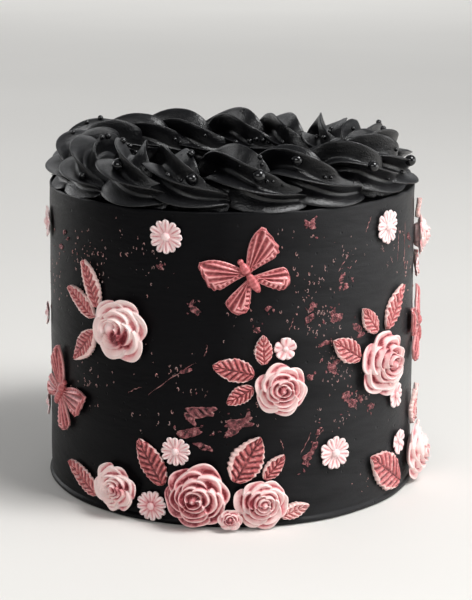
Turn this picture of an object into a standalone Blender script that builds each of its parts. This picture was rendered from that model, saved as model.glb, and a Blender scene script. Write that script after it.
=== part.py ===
"""A tall round cake in black icing: a piped rope border with sugar pearls round the top edge, and moulded
sugar roses, leaves, blossoms and butterflies pressed on the wall, with flakes of metallic leaf between.

Metres, +Z up. The origin is the middle of the flat underside. Angles round the cake are in degrees from
the front (-Y), positive towards +X. Each ornament is drawn flat, as (across, up, out), and then wrapped
on the wall.
"""

import math

import bmesh
import bpy
import numpy as np
from mathutils import Matrix, Vector
from mathutils.bvhtree import BVHTree

MM = 0.001
CAKE_HEIGHT = 136 * MM
TOP_RADIUS = 82.5 * MM
BASE_RADIUS = 83.9 * MM
EDGE_ROUND = 1.2 * MM
WALL_SIDES = 72
GAP = 0.3 * MM

ROPE_STROKES = 16
ROPE_RING_RADIUS = 64.5 * MM
ROPE_STROKE_RADIUS = 12.6 * MM
ROPE_REACH = 11.6 * MM
ROPE_CREST = 12.4 * MM
ROPE_FOOT = 3.4 * MM
ROPE_SLANT = 27 * MM
ROPE_BLADES = 6
ROPE_TWIST = -1.6
ROPE_TRIANGLES = 4000
# Places along a stroke at which it has a section, from its inner to its outer end.
ROPE_SECTIONS = (0.0, 0.07, 0.2, 0.38, 0.56, 0.74, 0.9, 1.0)
# Place between one blade and the next, and share of the stroke's radius.
BLADE_POINTS = ((0.02, 1.0), (0.5, 0.5))

LEAF_THICKNESS = 1.5 * MM
PETAL_COLUMNS = 12
# Share of the rose's radius, height out in mm, number of scallops and their depth.
ROSE_FOOT = ((0.5, 0.3, 0, 0.0), (0.6, 2.5, 0, 0.0))
ROSE_HEAD = (
    (1.0, 0.8, 5, 0.06), (0.82, 2.5, 5, 0.04), (0.75, 4.8, 4, 0.04), (0.54, 4.0, 4, 0.05),
    (0.47, 6.3, 3, 0.06), (0.25, 5.6, 3, 0.05),
)
UPPER_WING = 19.2 * MM
LOWER_WING = 15.8 * MM
WING_THICKNESS = 1.6 * MM
# Share of the wing's length, then its width in mm before and behind the line from root to tip.
UPPER_WING_EDGES = ((0.0, 0.7, 0.7), (0.22, 2.6, 4.0), (0.47, 3.8, 8.6), (0.8, 3.0, 6.2), (1.0, 0.7, 1.2))
LOWER_WING_EDGES = ((0.0, 0.7, 0.7), (0.25, 2.4, 2.2), (0.5, 4.4, 3.6), (0.75, 5.4, 3.2), (1.0, 0.9, 0.7))

SEED = 11

# Name, angle, height, radius in mm, then the turn in degrees.
ROSES = (
    ("rose_left", -33.7, 83.8, 14.2, 10),
    ("rose_centre", 14.1, 61.6, 11.4, 40),
    ("rose_right", 50.0, 64.5, 14.6, -25),
    ("rose_base_left", -35.4, 13.1, 10.5, 70),
    ("rose_base_middle", -9.4, 14.8, 14.2, 15),
    ("rose_base_right", 8.6, 11.7, 11.2, -10),
    ("rose_edge_high", 89.0, 111.0, 9.6, 30),
    ("rose_edge_low", 76.0, 14.2, 13.6, 55),
    ("rose_back_left", 222.0, 72.0, 12.6, 20),
    ("rose_back_high", 150.0, 94.0, 13.2, -40),
    ("rose_back_base", 176.0, 15.2, 13.8, 0),
)
BUD = ("rose_bud", -0.3, 5.6, 4.9, 0)
BUD_STEM = 5.8

# Name, then base and tip as angle and height in mm, and the width in mm.
LEAVES = (
    ("leaf_left_top", -42.6, 91.0, -48.3, 111.0, 9.6),
    ("leaf_left_middle", -44.3, 86.4, -55.9, 97.6, 8.8),
    ("leaf_left_low", -44.2, 80.2, -53.2, 65.4, 10.2),
    ("leaf_centre_top", 9.2, 71.8, 8.8, 85.0, 7.8),
    ("leaf_centre_middle", 6.6, 67.8, -5.4, 72.0, 10.4),
    ("leaf_centre_low", 6.2, 62.2, -1.4, 55.6, 7.8),
    ("leaf_right_top", 52.8, 79.0, 61.8, 97.0, 11.0),
    ("leaf_right_middle", 48.0, 79.4, 41.0, 91.4, 8.4),
    ("leaf_right_low", 40.8, 69.6, 30.4, 79.6, 10.4),
    ("leaf_base_far_left", -43.4, 6.6, -56.7, 18.0, 9.4),
    ("leaf_base_left", -20.0, 17.4, -27.6, 37.0, 11.2),
    ("leaf_base_middle", 0.9, 20.4, 8.2, 40.8, 13.6),
    ("leaf_base_right", 9.4, 21.4, 15.2, 32.4, 7.2),
    ("leaf_base_far_right", 14.2, 4.6, 22.8, 9.0, 7.2),
    ("leaf_edge_low", 61.0, 7.6, 46.0, 22.4, 14.6),
    ("leaf_edge_up", 75.2, 27.0, 75.6, 43.6, 8.4),
    ("leaf_edge_far", 83.4, 25.0, 88.4, 41.0, 10.0),
    ("leaf_high_up", 87.6, 119.6, 83.8, 129.4, 6.8),
    ("leaf_high_down", 91.2, 103.6, 90.6, 92.0, 7.6),
    ("leaf_back_left_up", 216.0, 81.0, 206.0, 92.0, 9.6),
    ("leaf_back_left_side", 229.4, 77.0, 241.0, 82.0, 9.0),
    ("leaf_back_high_up", 145.0, 104.0, 138.6, 120.0, 10.2),
    ("leaf_back_high_side", 158.4, 99.0, 170.0, 105.0, 9.2),
    ("leaf_back_high_low", 155.6, 84.0, 162.4, 69.0, 9.8),
    ("leaf_back_base_left", 168.0, 23.6, 160.2, 41.0, 11.6),
    ("leaf_back_base_right", 184.4, 18.0, 199.0, 24.6, 10.6),
)

# Name, angle, height, radius in mm, number of petals, then the turn in degrees.
BLOSSOMS = (
    ("daisy_high_left", -19.0, 125.6, 7.6, 9, 0),
    ("daisy_high_right", 52.8, 124.6, 7.8, 8, 10),
    ("daisy_low_right", 31.6, 29.8, 7.8, 8, 20),
    ("daisy_edge_high", -79.0, 119.6, 7.6, 8, 5),
    ("blossom_edge_middle", -84.0, 75.6, 5.6, 6, 0),
    ("daisy_edge_low", -86.6, 32.0, 6.4, 8, 12),
    ("blossom_centre", 15.4, 78.4, 5.1, 5, 18),
    ("blossom_right", 58.8, 47.4, 6.1, 6, 0),
    ("daisy_base_left", -23.7, 7.6, 7.2, 9, 8),
    ("daisy_base_middle", -16.2, 33.2, 6.8, 9, 0),
    ("blossom_edge_low", 61.8, 24.6, 6.0, 5, 30),
    ("blossom_edge_high", 83.4, 97.6, 4.6, 5, 0),
    ("daisy_back_high", 236.0, 117.0, 7.6, 9, 4),
    ("daisy_back_low", 130.0, 44.0, 7.6, 8, 15),
    ("daisy_back_base", 192.6, 8.0, 7.2, 9, 0),
)

# Name, angle, height in mm, then the turn of the head to the left in degrees.
BUTTERFLIES = (
    ("butterfly_front", 4.8, 110.4, 31),
    ("butterfly_left", -62.4, 47.0, -38),
    ("butterfly_right", 82.4, 70.4, 10),
    ("butterfly_back", 190.0, 104.0, -20),
)

# Angle and height in mm of the larger dabs of metallic leaf, and their longest half width in mm.
LEAF_METAL_DABS = (
    (-7.6, 47.4, 4.2), (-13.0, 44.6, 3.6), (-10.2, 39.6, 3.2), (2.0, 44.4, 3.6), (1.0, 39.6, 2.8),
    (22.6, 127.0, 3.0), (31.0, 111.0, 3.2), (33.0, 95.6, 3.0), (28.0, 90.4, 2.6), (30.6, 82.6, 3.0),
    (34.6, 66.0, 2.8), (29.6, 62.6, 2.4), (37.4, 55.2, 2.6), (24.4, 33.8, 2.6), (-20.4, 66.2, 2.6),
    (-17.6, 57.2, 2.8), (-29.0, 55.8, 2.4), (-64.8, 112.0, 2.4), (70.6, 115.4, 2.2), (66.0, 60.6, 2.4),
    (108.0, 92.0, 3.0), (112.0, 50.0, 3.2), (140.0, 66.0, 3.4), (196.0, 60.0, 3.4), (243.0, 46.0, 3.0),
    (228.0, 98.0, 2.6),
)
DAB_HEIGHT = 0.6 * MM

# Angle along the rope, place across it in mm from its middle, and radius in mm.
LARGE_PEARLS = (
    (-37.5, 11.5, 2.9), (-9.5, 13.0, 2.4), (5.5, 13.5, 2.9), (23.0, 9.0, 2.5), (45.5, 12.5, 2.5),
    (78.0, 15.0, 2.9), (-60.0, 14.5, 2.2), (-20.0, -2.0, 2.2), (98.0, 8.0, 2.6), (121.0, -6.0, 2.5),
    (143.0, 11.0, 2.7), (166.0, 2.0, 2.4), (188.0, 12.0, 2.8), (213.0, -4.0, 2.4), (236.0, 10.0, 2.6),
    (259.0, 3.0, 2.5),
)


def wall_radius(height):
    """Radius of the wall at a height: the wall leans in evenly towards the top."""
    return BASE_RADIUS + (TOP_RADIUS - BASE_RADIUS) * height / CAKE_HEIGHT


def wrapped(point, angle, height):
    """A point drawn flat as (across, up, out), laid on the wall round the place at angle and height."""
    across, up, out = point
    z = height + up
    radius = wall_radius(z) + out
    turn = math.radians(angle) + across / wall_radius(z)
    return Vector((radius * math.sin(turn), -radius * math.cos(turn), z))


def turned(across, up, degrees):
    """A point of the flat drawing turned to the left."""
    a = math.radians(degrees)
    return across * math.cos(a) - up * math.sin(a), across * math.sin(a) + up * math.cos(a)


def material(name, colour, roughness, metallic=0.0):
    """A Principled material of one colour."""
    made = bpy.data.materials.new(name)
    made.use_nodes = True
    shader = made.node_tree.nodes["Principled BSDF"]
    shader.inputs["Base Color"].default_value = (*colour, 1.0)
    shader.inputs["Roughness"].default_value = roughness
    shader.inputs["Metallic"].default_value = metallic
    return made


def object_from(name, shape, collection, finish=None):
    """A new object from a bmesh, which is freed."""
    bmesh.ops.recalc_face_normals(shape, faces=shape.faces)
    mesh = bpy.data.meshes.new(name)
    shape.to_mesh(mesh)
    shape.free()
    obj = bpy.data.objects.new(name, mesh)
    collection.objects.link(obj)
    if finish:
        mesh.materials.append(finish)
    return obj


def new_collection(name):
    made = bpy.data.collections.new(name)
    bpy.context.scene.collection.children.link(made)
    return made


def loft(sections, start=None, end=None):
    """A closed bmesh through rings of as many points each. The ends close on a point, or on the ring's middle."""
    shape = bmesh.new()
    rings = [[shape.verts.new(p) for p in ring] for ring in sections]
    count = len(rings[0])
    for low, high in zip(rings, rings[1:]):
        for i in range(count):
            j = (i + 1) % count
            shape.faces.new((low[i], low[j], high[j], high[i]))
    for ring, tip in ((rings[0], start), (rings[-1], end)):
        middle = sum((v.co for v in ring), Vector()) / count
        cap = shape.verts.new(middle if tip is None else tip)
        for i in range(count):
            shape.faces.new((cap, ring[i], ring[(i + 1) % count]))
    bmesh.ops.triangulate(shape, faces=shape.faces)
    return shape


def joined(base, pieces, solver="MANIFOLD"):
    """The base with every object of the collection fused to it, after which those objects are removed."""
    union = base.modifiers.new("fuse", "BOOLEAN")
    union.operation = "UNION"
    union.operand_type = "COLLECTION"
    union.collection = pieces
    union.solver = solver
    apply_modifiers(base)
    for piece in list(pieces.objects):
        bpy.data.objects.remove(piece)
    bpy.data.collections.remove(pieces)
    return base


def apply_modifiers(obj):
    """Keeps the evaluated mesh and drops the modifiers."""
    bpy.context.view_layer.update()
    graph = bpy.context.evaluated_depsgraph_get()
    mesh = bpy.data.meshes.new_from_object(obj.evaluated_get(graph))
    obj.modifiers.clear()
    obj.data = mesh


def keep_outer_shell(obj):
    """Drops the pockets that a union of crossing pieces can seal inside: only the largest shell stays."""
    shape = bmesh.new()
    shape.from_mesh(obj.data)
    waiting = set(shape.verts)
    shells = []
    while waiting:
        reached = [waiting.pop()]
        shell = set(reached)
        while reached:
            for edge in reached.pop().link_edges:
                for corner in edge.verts:
                    if corner in waiting:
                        waiting.remove(corner)
                        shell.add(corner)
                        reached.append(corner)
        shells.append(shell)
    outer = max(shells, key=len)
    bmesh.ops.delete(shape, geom=[v for v in shape.verts if v not in outer], context="VERTS")
    shape.to_mesh(obj.data)
    shape.free()


def smooth(obj, degrees=40):
    obj.data.shade_smooth()
    obj.data.set_sharp_from_angle(angle=math.radians(degrees))


def dab_outline(half_width, draw):
    """A ragged flake: corners round an ellipse, each pushed in or out a little."""
    corners = 6
    slant = draw.uniform(0, math.pi)
    points = []
    for i in range(corners):
        a = 2 * math.pi * i / corners
        reach = half_width * draw.uniform(0.7, 1.0)
        along = reach * math.cos(a)
        beside = 0.5 * reach * math.sin(a)
        points.append((along * math.cos(slant) - beside * math.sin(slant),
                       along * math.sin(slant) + beside * math.cos(slant)))
    return points


def cake(collection, icing):
    """The cake as one solid: a turned profile, with the larger dabs of metallic leaf fused to its wall."""
    shape = bmesh.new()
    steps = 2
    profile = [(0.0, CAKE_HEIGHT)]
    for i in range(steps + 1):
        a = math.pi / 2 * i / steps
        profile.append((TOP_RADIUS - EDGE_ROUND * (1 - math.sin(a)),
                        CAKE_HEIGHT - EDGE_ROUND * (1 - math.cos(a))))
    profile += [(BASE_RADIUS, 0.0), (0.0, 0.0)]
    corners = [shape.verts.new((x, 0.0, z)) for x, z in profile]
    for a, b in zip(corners, corners[1:]):
        shape.edges.new((a, b))
    mesh = bpy.data.meshes.new("cake")
    shape.to_mesh(mesh)
    shape.free()
    body = bpy.data.objects.new("cake", mesh)
    collection.objects.link(body)
    mesh.materials.append(icing)
    turn = body.modifiers.new("turn", "SCREW")
    turn.steps = turn.render_steps = WALL_SIDES
    turn.use_merge_vertices = True
    turn.merge_threshold = 0.00005
    apply_modifiers(body)

    draw = np.random.default_rng(SEED)
    dabs = new_collection("dabs")
    for angle, height, half_width in LEAF_METAL_DABS:
        outline = dab_outline(half_width * MM, draw)
        sections = []
        for out, share in ((-1.0 * MM, 1.0), (DAB_HEIGHT, 0.86)):
            sections.append([wrapped((x * share, y * share, out), angle, height * MM) for x, y in outline])
        object_from("dab", loft(sections), dabs)
    joined(body, dabs)
    smooth(body)
    return body


def slab(name, upper, lower, collection, finish=None):
    """A thin closed solid between two grids of points of one size, both split into triangles alike."""
    shape = bmesh.new()
    rows, columns = len(upper), len(upper[0])
    top = [[shape.verts.new(p) for p in row] for row in upper]
    under = [[shape.verts.new(p) for p in row] for row in lower]
    for i in range(rows - 1):
        for j in range(columns - 1):
            for face in (top, under):
                shape.faces.new((face[i][j], face[i + 1][j], face[i + 1][j + 1]))
                shape.faces.new((face[i][j], face[i + 1][j + 1], face[i][j + 1]))
    rim = [(0, j) for j in range(columns)] + [(i, columns - 1) for i in range(1, rows)]
    rim += [(rows - 1, j) for j in range(columns - 2, -1, -1)] + [(i, 0) for i in range(rows - 2, 0, -1)]
    for (i, j), (k, m) in zip(rim, rim[1:] + rim[:1]):
        shape.faces.new((top[i][j], top[k][m], under[k][m]))
        shape.faces.new((top[i][j], under[k][m], under[i][j]))
    return object_from(name, shape, collection, finish)


def rope_point(t, tall):
    """Middle of a stroke at t from 0 to 1, as (along the ring, across it, up).

    It rises from the inner foot, bends over the crest and falls to the outer foot. Both feet run level
    along the ring, so that from above and from the side the stroke is a long S.
    """
    side = 2 * t - 1
    sign = math.copysign(1, side)
    early = min(1, 1.2 * abs(side))
    fallen = min(1, max(0, (abs(side) - 0.05) / 0.8))
    along = ROPE_SLANT * (0.4 * side + 0.6 * sign * abs(side) ** 2.6)
    across = sign * ROPE_REACH * math.sin(math.pi / 2 * early)
    up = tall * (ROPE_FOOT + (ROPE_CREST - ROPE_FOOT) * (0.5 + 0.5 * math.cos(math.pi * fallen)))
    return Vector((along, across, up))


def rope_stroke(number):
    """One piped stroke: thin blades round its path, as a star nozzle leaves them, with a little twist.

    The strokes differ in size, height and turn, as piped by hand, and stand tallest at the front.
    """
    middle_angle = 2 * math.pi / ROPE_STROKES * number + 0.03 * math.sin(3.7 * number)
    size = ROPE_STROKE_RADIUS * (1 + 0.045 * math.sin(2.3 * number + 0.6))
    tall = 1 + 0.09 * math.cos(middle_angle) + 0.03 * math.sin(4.1 * number)
    phase = 0.6 + 0.25 * math.sin(5.3 * number + 1)
    sections = []
    for t in ROPE_SECTIONS:
        here = rope_point(t, tall)
        ahead = (rope_point(min(1, t + 0.01), tall) - rope_point(max(0, t - 0.01), tall)).normalized()
        side = ahead.cross(Vector((0, 0, 1))).normalized()
        top = side.cross(ahead).normalized()
        radius = size * (0.12 + 0.88 * abs(math.sin(math.pi * t ** 0.8)) ** 0.4)
        ring = []
        for blade in range(ROPE_BLADES):
            for place, reach in BLADE_POINTS:
                a = 2 * math.pi * (blade + place) / ROPE_BLADES + phase + ROPE_TWIST * t
                local = here + radius * reach * (math.cos(a) * side + math.sin(a) * top)
                turn = middle_angle + local.x / ROPE_RING_RADIUS
                radial = ROPE_RING_RADIUS + local.y
                ring.append(Vector((radial * math.sin(turn), -radial * math.cos(turn),
                                    CAKE_HEIGHT + local.z)))
        sections.append(ring)
    return loft(sections)


def add_pearls(bead):
    """Sugar pearls dropped on the rope: each comes to lie where its place meets the strokes."""
    surface = BVHTree.FromObject(bead, bpy.context.evaluated_depsgraph_get())
    pearls = new_collection("pearls")
    for angle, across, radius in LARGE_PEARLS:
        a = math.radians(angle)
        radial = ROPE_RING_RADIUS + across * MM
        above = Vector((radial * math.sin(a), -radial * math.cos(a), CAKE_HEIGHT + 60 * MM))
        place = surface.ray_cast(above, Vector((0, 0, -1)))[0]
        middle = place + Vector((0, 0, 0.45 * radius * MM))
        shape = bmesh.new()
        bmesh.ops.create_uvsphere(shape, u_segments=6, v_segments=4, radius=radius * MM)
        bmesh.ops.transform(shape, matrix=Matrix.Translation(middle), verts=shape.verts)
        bmesh.ops.triangulate(shape, faces=shape.faces)
        object_from("pearl", shape, pearls)
    joined(bead, pearls)


def rope_border(collection, icing):
    """The rope border as one solid: a hidden bead, the strokes round it, and the pearls on them."""
    bpy.ops.mesh.primitive_torus_add(
        major_segments=24, minor_segments=5, major_radius=ROPE_RING_RADIUS, minor_radius=9 * MM,
        location=(0, 0, CAKE_HEIGHT + 6 * MM),
    )
    bead = bpy.context.object
    bead.name = bead.data.name = "rope_border"
    for old in list(bead.users_collection):
        old.objects.unlink(bead)
    collection.objects.link(bead)
    bead.data.transform(bead.matrix_world)
    bead.matrix_world = Matrix.Identity(4)
    bead.data.materials.append(icing)

    strokes = new_collection("strokes")
    for number in range(ROPE_STROKES):
        object_from("stroke", rope_stroke(number), strokes)
    joined(bead, strokes)
    keep_outer_shell(bead)
    fewer = bead.modifiers.new("fewer_faces", "DECIMATE")
    fewer.ratio = ROPE_TRIANGLES / sum(len(face.vertices) - 2 for face in bead.data.polygons)
    apply_modifiers(bead)

    bpy.ops.mesh.primitive_cylinder_add(
        vertices=48, radius=2 * TOP_RADIUS, depth=60 * MM, location=(0, 0, CAKE_HEIGHT + GAP - 30 * MM),
    )
    under = bpy.context.object
    under.hide_render = True
    under.display_type = "WIRE"
    flat = bead.modifiers.new("flat_foot", "BOOLEAN")
    flat.operation = "DIFFERENCE"
    flat.object = under
    flat.solver = "MANIFOLD"
    apply_modifiers(bead)
    bpy.data.objects.remove(under)
    add_pearls(bead)
    keep_outer_shell(bead)
    smooth(bead, 50)
    return bead


def rose(name, angle, height, radius, turn, collection, finish, stem=2.5):
    """A moulded rose: a narrow foot on the wall, and over it rings of petals that rise to the middle.

    The foot is as long as the stem in mm, and leaves tuck in round it under the outer petals.
    """
    scale = radius / 14.2
    rings = [ROSE_FOOT[0], (ROSE_FOOT[1][0], stem, 0, 0.0)]
    rings += [(share, stem + out * scale, waves, depth) for share, out, waves, depth in ROSE_HEAD]
    sections = []
    for share, out, waves, depth in rings:
        ring = []
        for column in range(PETAL_COLUMNS):
            a = 2 * math.pi * column / PETAL_COLUMNS + math.radians(turn)
            reach = radius * MM * share * (1 + depth * math.cos(waves * a + 7 * share))
            ring.append(wrapped((reach * math.cos(a), reach * math.sin(a), out * MM), angle, height * MM))
        sections.append(ring)
    base = wrapped((0, 0, rings[0][1] * MM), angle, height * MM)
    tip = wrapped((0, 0, (stem + 7.4 * scale) * MM), angle, height * MM)
    obj = object_from(name, loft(sections, base, tip), collection, finish)
    smooth(obj, 60)
    return obj


def leaf(name, angle, height, tip_angle, tip_height, width, collection, finish):
    """A moulded leaf: a thin wavy blade with a groove down its middle and a lifted tip."""
    reach = math.radians(tip_angle - angle) * wall_radius(height * MM)
    rise = (tip_height - height) * MM
    length = math.hypot(reach, rise)
    ahead = (reach / length, rise / length)
    beside = (-ahead[1], ahead[0])
    upper = []
    lower = []
    for along, half in ((0.0, 0.2), (0.2, 0.8), (0.47, 1.0), (0.78, 0.6), (1.0, 0.1)):
        row = []
        for side in (-1, 0, 1):
            across = side * half * width * MM / 2
            wave = 0.25 * MM * math.sin(7 * along + 1.5 * side) * abs(side) - 0.2 * MM * (side == 0)
            out = GAP + 0.3 * MM + wave + 0.9 * MM * along ** 2
            x = ahead[0] * length * along + beside[0] * across
            y = ahead[1] * length * along + beside[1] * across
            row.append((x, y, out))
        lower.append([wrapped(p, angle, height * MM) for p in row])
        upper.append([wrapped((x, y, out + LEAF_THICKNESS), angle, height * MM) for x, y, out in row])
    obj = slab(name, upper, lower, collection, finish)
    smooth(obj)
    return obj


def blossom(name, angle, height, radius, petals, turn, collection, finish):
    """A cut blossom: petals with notches between, thin at the edge, and a raised middle."""
    sections = []
    for share, out in ((0.88, 0.3), (1.0, 1.7), (0.32, 2.1)):
        ring = []
        for column in range(2 * petals):
            a = math.pi * column / petals + math.radians(turn)
            reach = radius * MM * share * (1.0 if column % 2 == 0 or share < 0.5 else 0.66)
            ring.append(wrapped((reach * math.cos(a), reach * math.sin(a), out * MM), angle, height * MM))
        sections.append(ring)
    base = wrapped((0, 0, 0.3 * MM), angle, height * MM)
    tip = wrapped((0, 0, 3.3 * MM), angle, height * MM)
    obj = object_from(name, loft(sections, base, tip), collection, finish)
    smooth(obj, 60)
    return obj


def wing(angle, height, root, direction, side, length, edges, collection):
    """One wing from its root on the body to its pointed tip, lifted a little on the way.

    The edges are the widths in mm before and behind the line from root to tip, along its length.
    """
    a = math.radians(direction)
    ahead = (-math.sin(a), math.cos(a))
    before = (-side * ahead[1], side * ahead[0])
    upper = []
    lower = []
    for along, lead, trail in edges:
        row = []
        for across in (-lead * MM, trail * MM):
            x = root[0] + ahead[0] * length * along + before[0] * across
            y = root[1] + ahead[1] * length * along + before[1] * across
            row.append((x, y, GAP + 0.5 * MM + 1.1 * MM * along))
        lower.append([wrapped(p, angle, height * MM) for p in row])
        upper.append([wrapped((x, y, out + WING_THICKNESS), angle, height * MM) for x, y, out in row])
    slab("wing", upper, lower, collection)


def butterfly(name, angle, height, turn, collection, finish):
    """A moulded butterfly: a long body with two upper and two lower wings fused to it."""
    shape = bmesh.new()
    bmesh.ops.create_uvsphere(shape, u_segments=6, v_segments=4, radius=1)
    for corner in shape.verts:
        across = corner.co.x * 1.5 * MM
        up = corner.co.z * 8.2 * MM
        out = corner.co.y * 1.5 * MM + 2.1 * MM
        corner.co = wrapped((*turned(across, up, turn), out), angle, height * MM)
    bmesh.ops.triangulate(shape, faces=shape.faces)
    body = object_from(name, shape, collection, finish)
    wings = new_collection("wings")
    for side in (-1, 1):
        upper_root = turned(-side * 0.7 * MM, 1.6 * MM, turn)
        lower_root = turned(-side * 0.7 * MM, -1.6 * MM, turn)
        wing(angle, height, upper_root, turn + side * 50, side, UPPER_WING, UPPER_WING_EDGES, wings)
        wing(angle, height, lower_root, turn + side * 132, side, LOWER_WING, LOWER_WING_EDGES, wings)
    joined(body, wings, "EXACT")
    smooth(body)
    return body


def main():
    for obj in list(bpy.data.objects):
        bpy.data.objects.remove(obj)
    black = material("black_buttercream", (0.012, 0.012, 0.014), 0.6)
    blush = material("blush_fondant", (0.74, 0.40, 0.40), 0.55)
    dusk = material("dusky_rose_fondant", (0.42, 0.13, 0.13), 0.5)
    pearly = material("pearly_rose_fondant", (0.38, 0.08, 0.08), 0.35)
    pale = material("pale_pink_fondant", (0.75, 0.50, 0.50), 0.55)
    parts = new_collection("black_cake")
    cake(parts, black)
    rope_border(parts, black)
    for entry in ROSES:
        rose(*entry, parts, blush)
    rose(*BUD, parts, blush, BUD_STEM)
    for entry in LEAVES:
        leaf(*entry, parts, dusk)
    for entry in BLOSSOMS:
        blossom(*entry, parts, pale)
    for entry in BUTTERFLIES:
        butterfly(*entry, parts, pearly)


main()
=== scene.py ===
"""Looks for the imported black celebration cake: iced wall, piped rope border, sugar pearls, moulded sugar
ornaments, scattered metallic leaf, and the stage it is shown on.

Metres, +Z up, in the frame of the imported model. Angles round the cake are in degrees from the front (-Y),
positive towards +X. An ornament is worked out flat, as across, up and out, and then wrapped on the wall.
"""

import math

import bmesh
import bpy
import numpy as np
from bpy.props import FloatProperty, FloatVectorProperty, IntProperty, PointerProperty
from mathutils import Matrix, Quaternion, Vector
from mathutils.bvhtree import BVHTree


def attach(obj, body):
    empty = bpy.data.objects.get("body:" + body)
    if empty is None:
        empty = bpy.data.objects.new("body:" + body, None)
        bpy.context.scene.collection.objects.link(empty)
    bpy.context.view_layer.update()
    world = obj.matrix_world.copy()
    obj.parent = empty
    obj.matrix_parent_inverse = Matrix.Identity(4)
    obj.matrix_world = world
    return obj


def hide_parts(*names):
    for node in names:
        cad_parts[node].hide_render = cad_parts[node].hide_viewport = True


bl_info = {
    "name": "Black Celebration Cake",
    "version": (1, 0, 0),
    "blender": (4, 5, 0),
    "location": "View3D > Sidebar > Cake",
    "description": "Dresses the packed cake with icing, piped rope, pearls, sugar flowers and metallic leaf",
    "category": "Object",
}

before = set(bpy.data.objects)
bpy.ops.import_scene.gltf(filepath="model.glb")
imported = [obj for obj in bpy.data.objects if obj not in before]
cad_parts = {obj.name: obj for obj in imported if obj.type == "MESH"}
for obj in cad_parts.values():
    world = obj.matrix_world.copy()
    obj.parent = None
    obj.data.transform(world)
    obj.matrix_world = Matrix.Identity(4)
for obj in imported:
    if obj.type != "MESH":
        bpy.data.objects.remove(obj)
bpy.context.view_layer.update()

MM = 0.001
# Degrees down, to the right and rolled, then the lens and the sensor in mm and the frame in pixels.
CAMERA_PLACE = (0.0, -0.8183, 0.27965)
CAMERA_TURNS = (13.744, 0.132, -0.226)
CAMERA_LENS = 109.6
SENSOR_WIDTH = 36.0
FRAME_WIDTH = 472
FRAME_HEIGHT = 600

CAKE_HEIGHT = 136 * MM
TOP_RADIUS = 82.5 * MM
BASE_RADIUS = 83.9 * MM
WALL_COLUMNS = 640
# Millimetres of wall to one degree round the cake.
ARC_OF_DEGREE = 1.46

ROPE_STROKES = 16
ROPE_RING_RADIUS = 64.5 * MM
ROPE_STROKE_RADIUS = 12.6 * MM
ROPE_REACH = 11.6 * MM
ROPE_CREST = 12.4 * MM
ROPE_FOOT = 3.4 * MM
ROPE_SLANT = 27 * MM
ROPE_TWIST = -1.6
# The valleys' share of the stroke's radius, the blades' share of their step, and the tips' lean in radians.
VALLEY = 0.36
BLADE_WIDTH = 0.31
BLADE_LEAN = 0.15

# Name, angle, height, radius in mm, turn in degrees; the shares of paint on the outer petals, the inner
# petals and in the crevices; how far the heart leans across and up as shares of the radius, and its size; the
# ruffle of the edges; then the direction in degrees, the distance as a share and the strength of a dab of
# colour, towards which the faces are deeper too.
ROSES = (
    ("rose_left", -33.7, 83.8, 14.2, 10, 0.03, 0.10, 0.50, -0.10, 0.10, 1.35, 0.8, -48, 0.25, 5.0),
    ("rose_centre", 14.1, 61.6, 11.6, 40, 0.08, 0.80, 0.60, -0.04, 0.02, 1.0, 0.9, 100, 0.05, 0.6),
    ("rose_right", 50.0, 64.5, 14.6, -25, 0.20, 0.60, 0.85, 0.02, 0.05, 1.0, 1.3, 112, 0.50, 2.2),
    ("rose_base_left", -35.4, 13.1, 11.0, 70, 0.0, 0.10, 0.65, 0.06, 0.05, 1.1, 1.2, 12, 0.40, 3.4),
    ("rose_base_middle", -9.4, 14.8, 14.2, 15, 0.86, 1.0, 0.95, -0.10, -0.04, 0.9, 1.0, 205, 0.40, 1.4),
    ("rose_base_right", 8.6, 11.7, 11.3, -10, 0.14, 0.50, 0.65, 0.06, 0.02, 0.9, 1.0, 165, 0.48, 3.0),
    ("rose_edge_high", 89.0, 111.0, 9.6, 30, 0.25, 0.5, 0.7, 0.05, 0.05, 1.0, 0.9, 160, 0.4, 0.8),
    ("rose_edge_low", 76.0, 14.2, 13.6, 55, 0.22, 0.4, 0.6, 0.12, 0.0, 1.0, 1.1, 0, 0.35, 0.9),
    ("rose_back_left", 222.0, 72.0, 12.6, 20, 0.06, 0.4, 0.6, 0.1, 0.05, 1.1, 1.0, 200, 0.4, 0.9),
    ("rose_back_high", 150.0, 94.0, 13.2, -40, 0.10, 0.4, 0.6, -0.25, 0.08, 1.2, 1.0, -60, 0.3, 1.1),
    ("rose_back_base", 176.0, 15.2, 13.8, 0, 0.60, 0.9, 0.8, 0.08, 0.0, 0.9, 0.9, 30, 0.4, 0.5),
)
BUD = ("rose_bud", -0.3, 5.6, 4.9, 0, 0.10, 0.8, 0.7, 0.0, 0.1, 1.2, 0.4, 90, 0.05, 1.0)
# Heights in mm of the undersides of the petals over the wall.
BUD_STEM = 5.8
ROSE_STEM = 2.5
# Radius in mm of the rose that the heights below belong to; others are scaled from it.
FULL_ROSE = 14.2
# Petals in the layer, share of the radius and height in mm at their rims, half width in radians, how far the
# face sinks in mm inside the rim, and over what share of the radius.
PETAL_LAYERS = (
    (6, 1.00, 1.6, 0.74, 1.4, 0.36),
    (5, 0.80, 3.5, 0.86, 2.3, 0.32),
    (4, 0.59, 5.3, 1.00, 2.7, 0.27),
    (3, 0.40, 6.6, 1.28, 2.9, 0.21),
    (2, 0.25, 7.2, 1.85, 2.6, 0.14),
)

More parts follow.
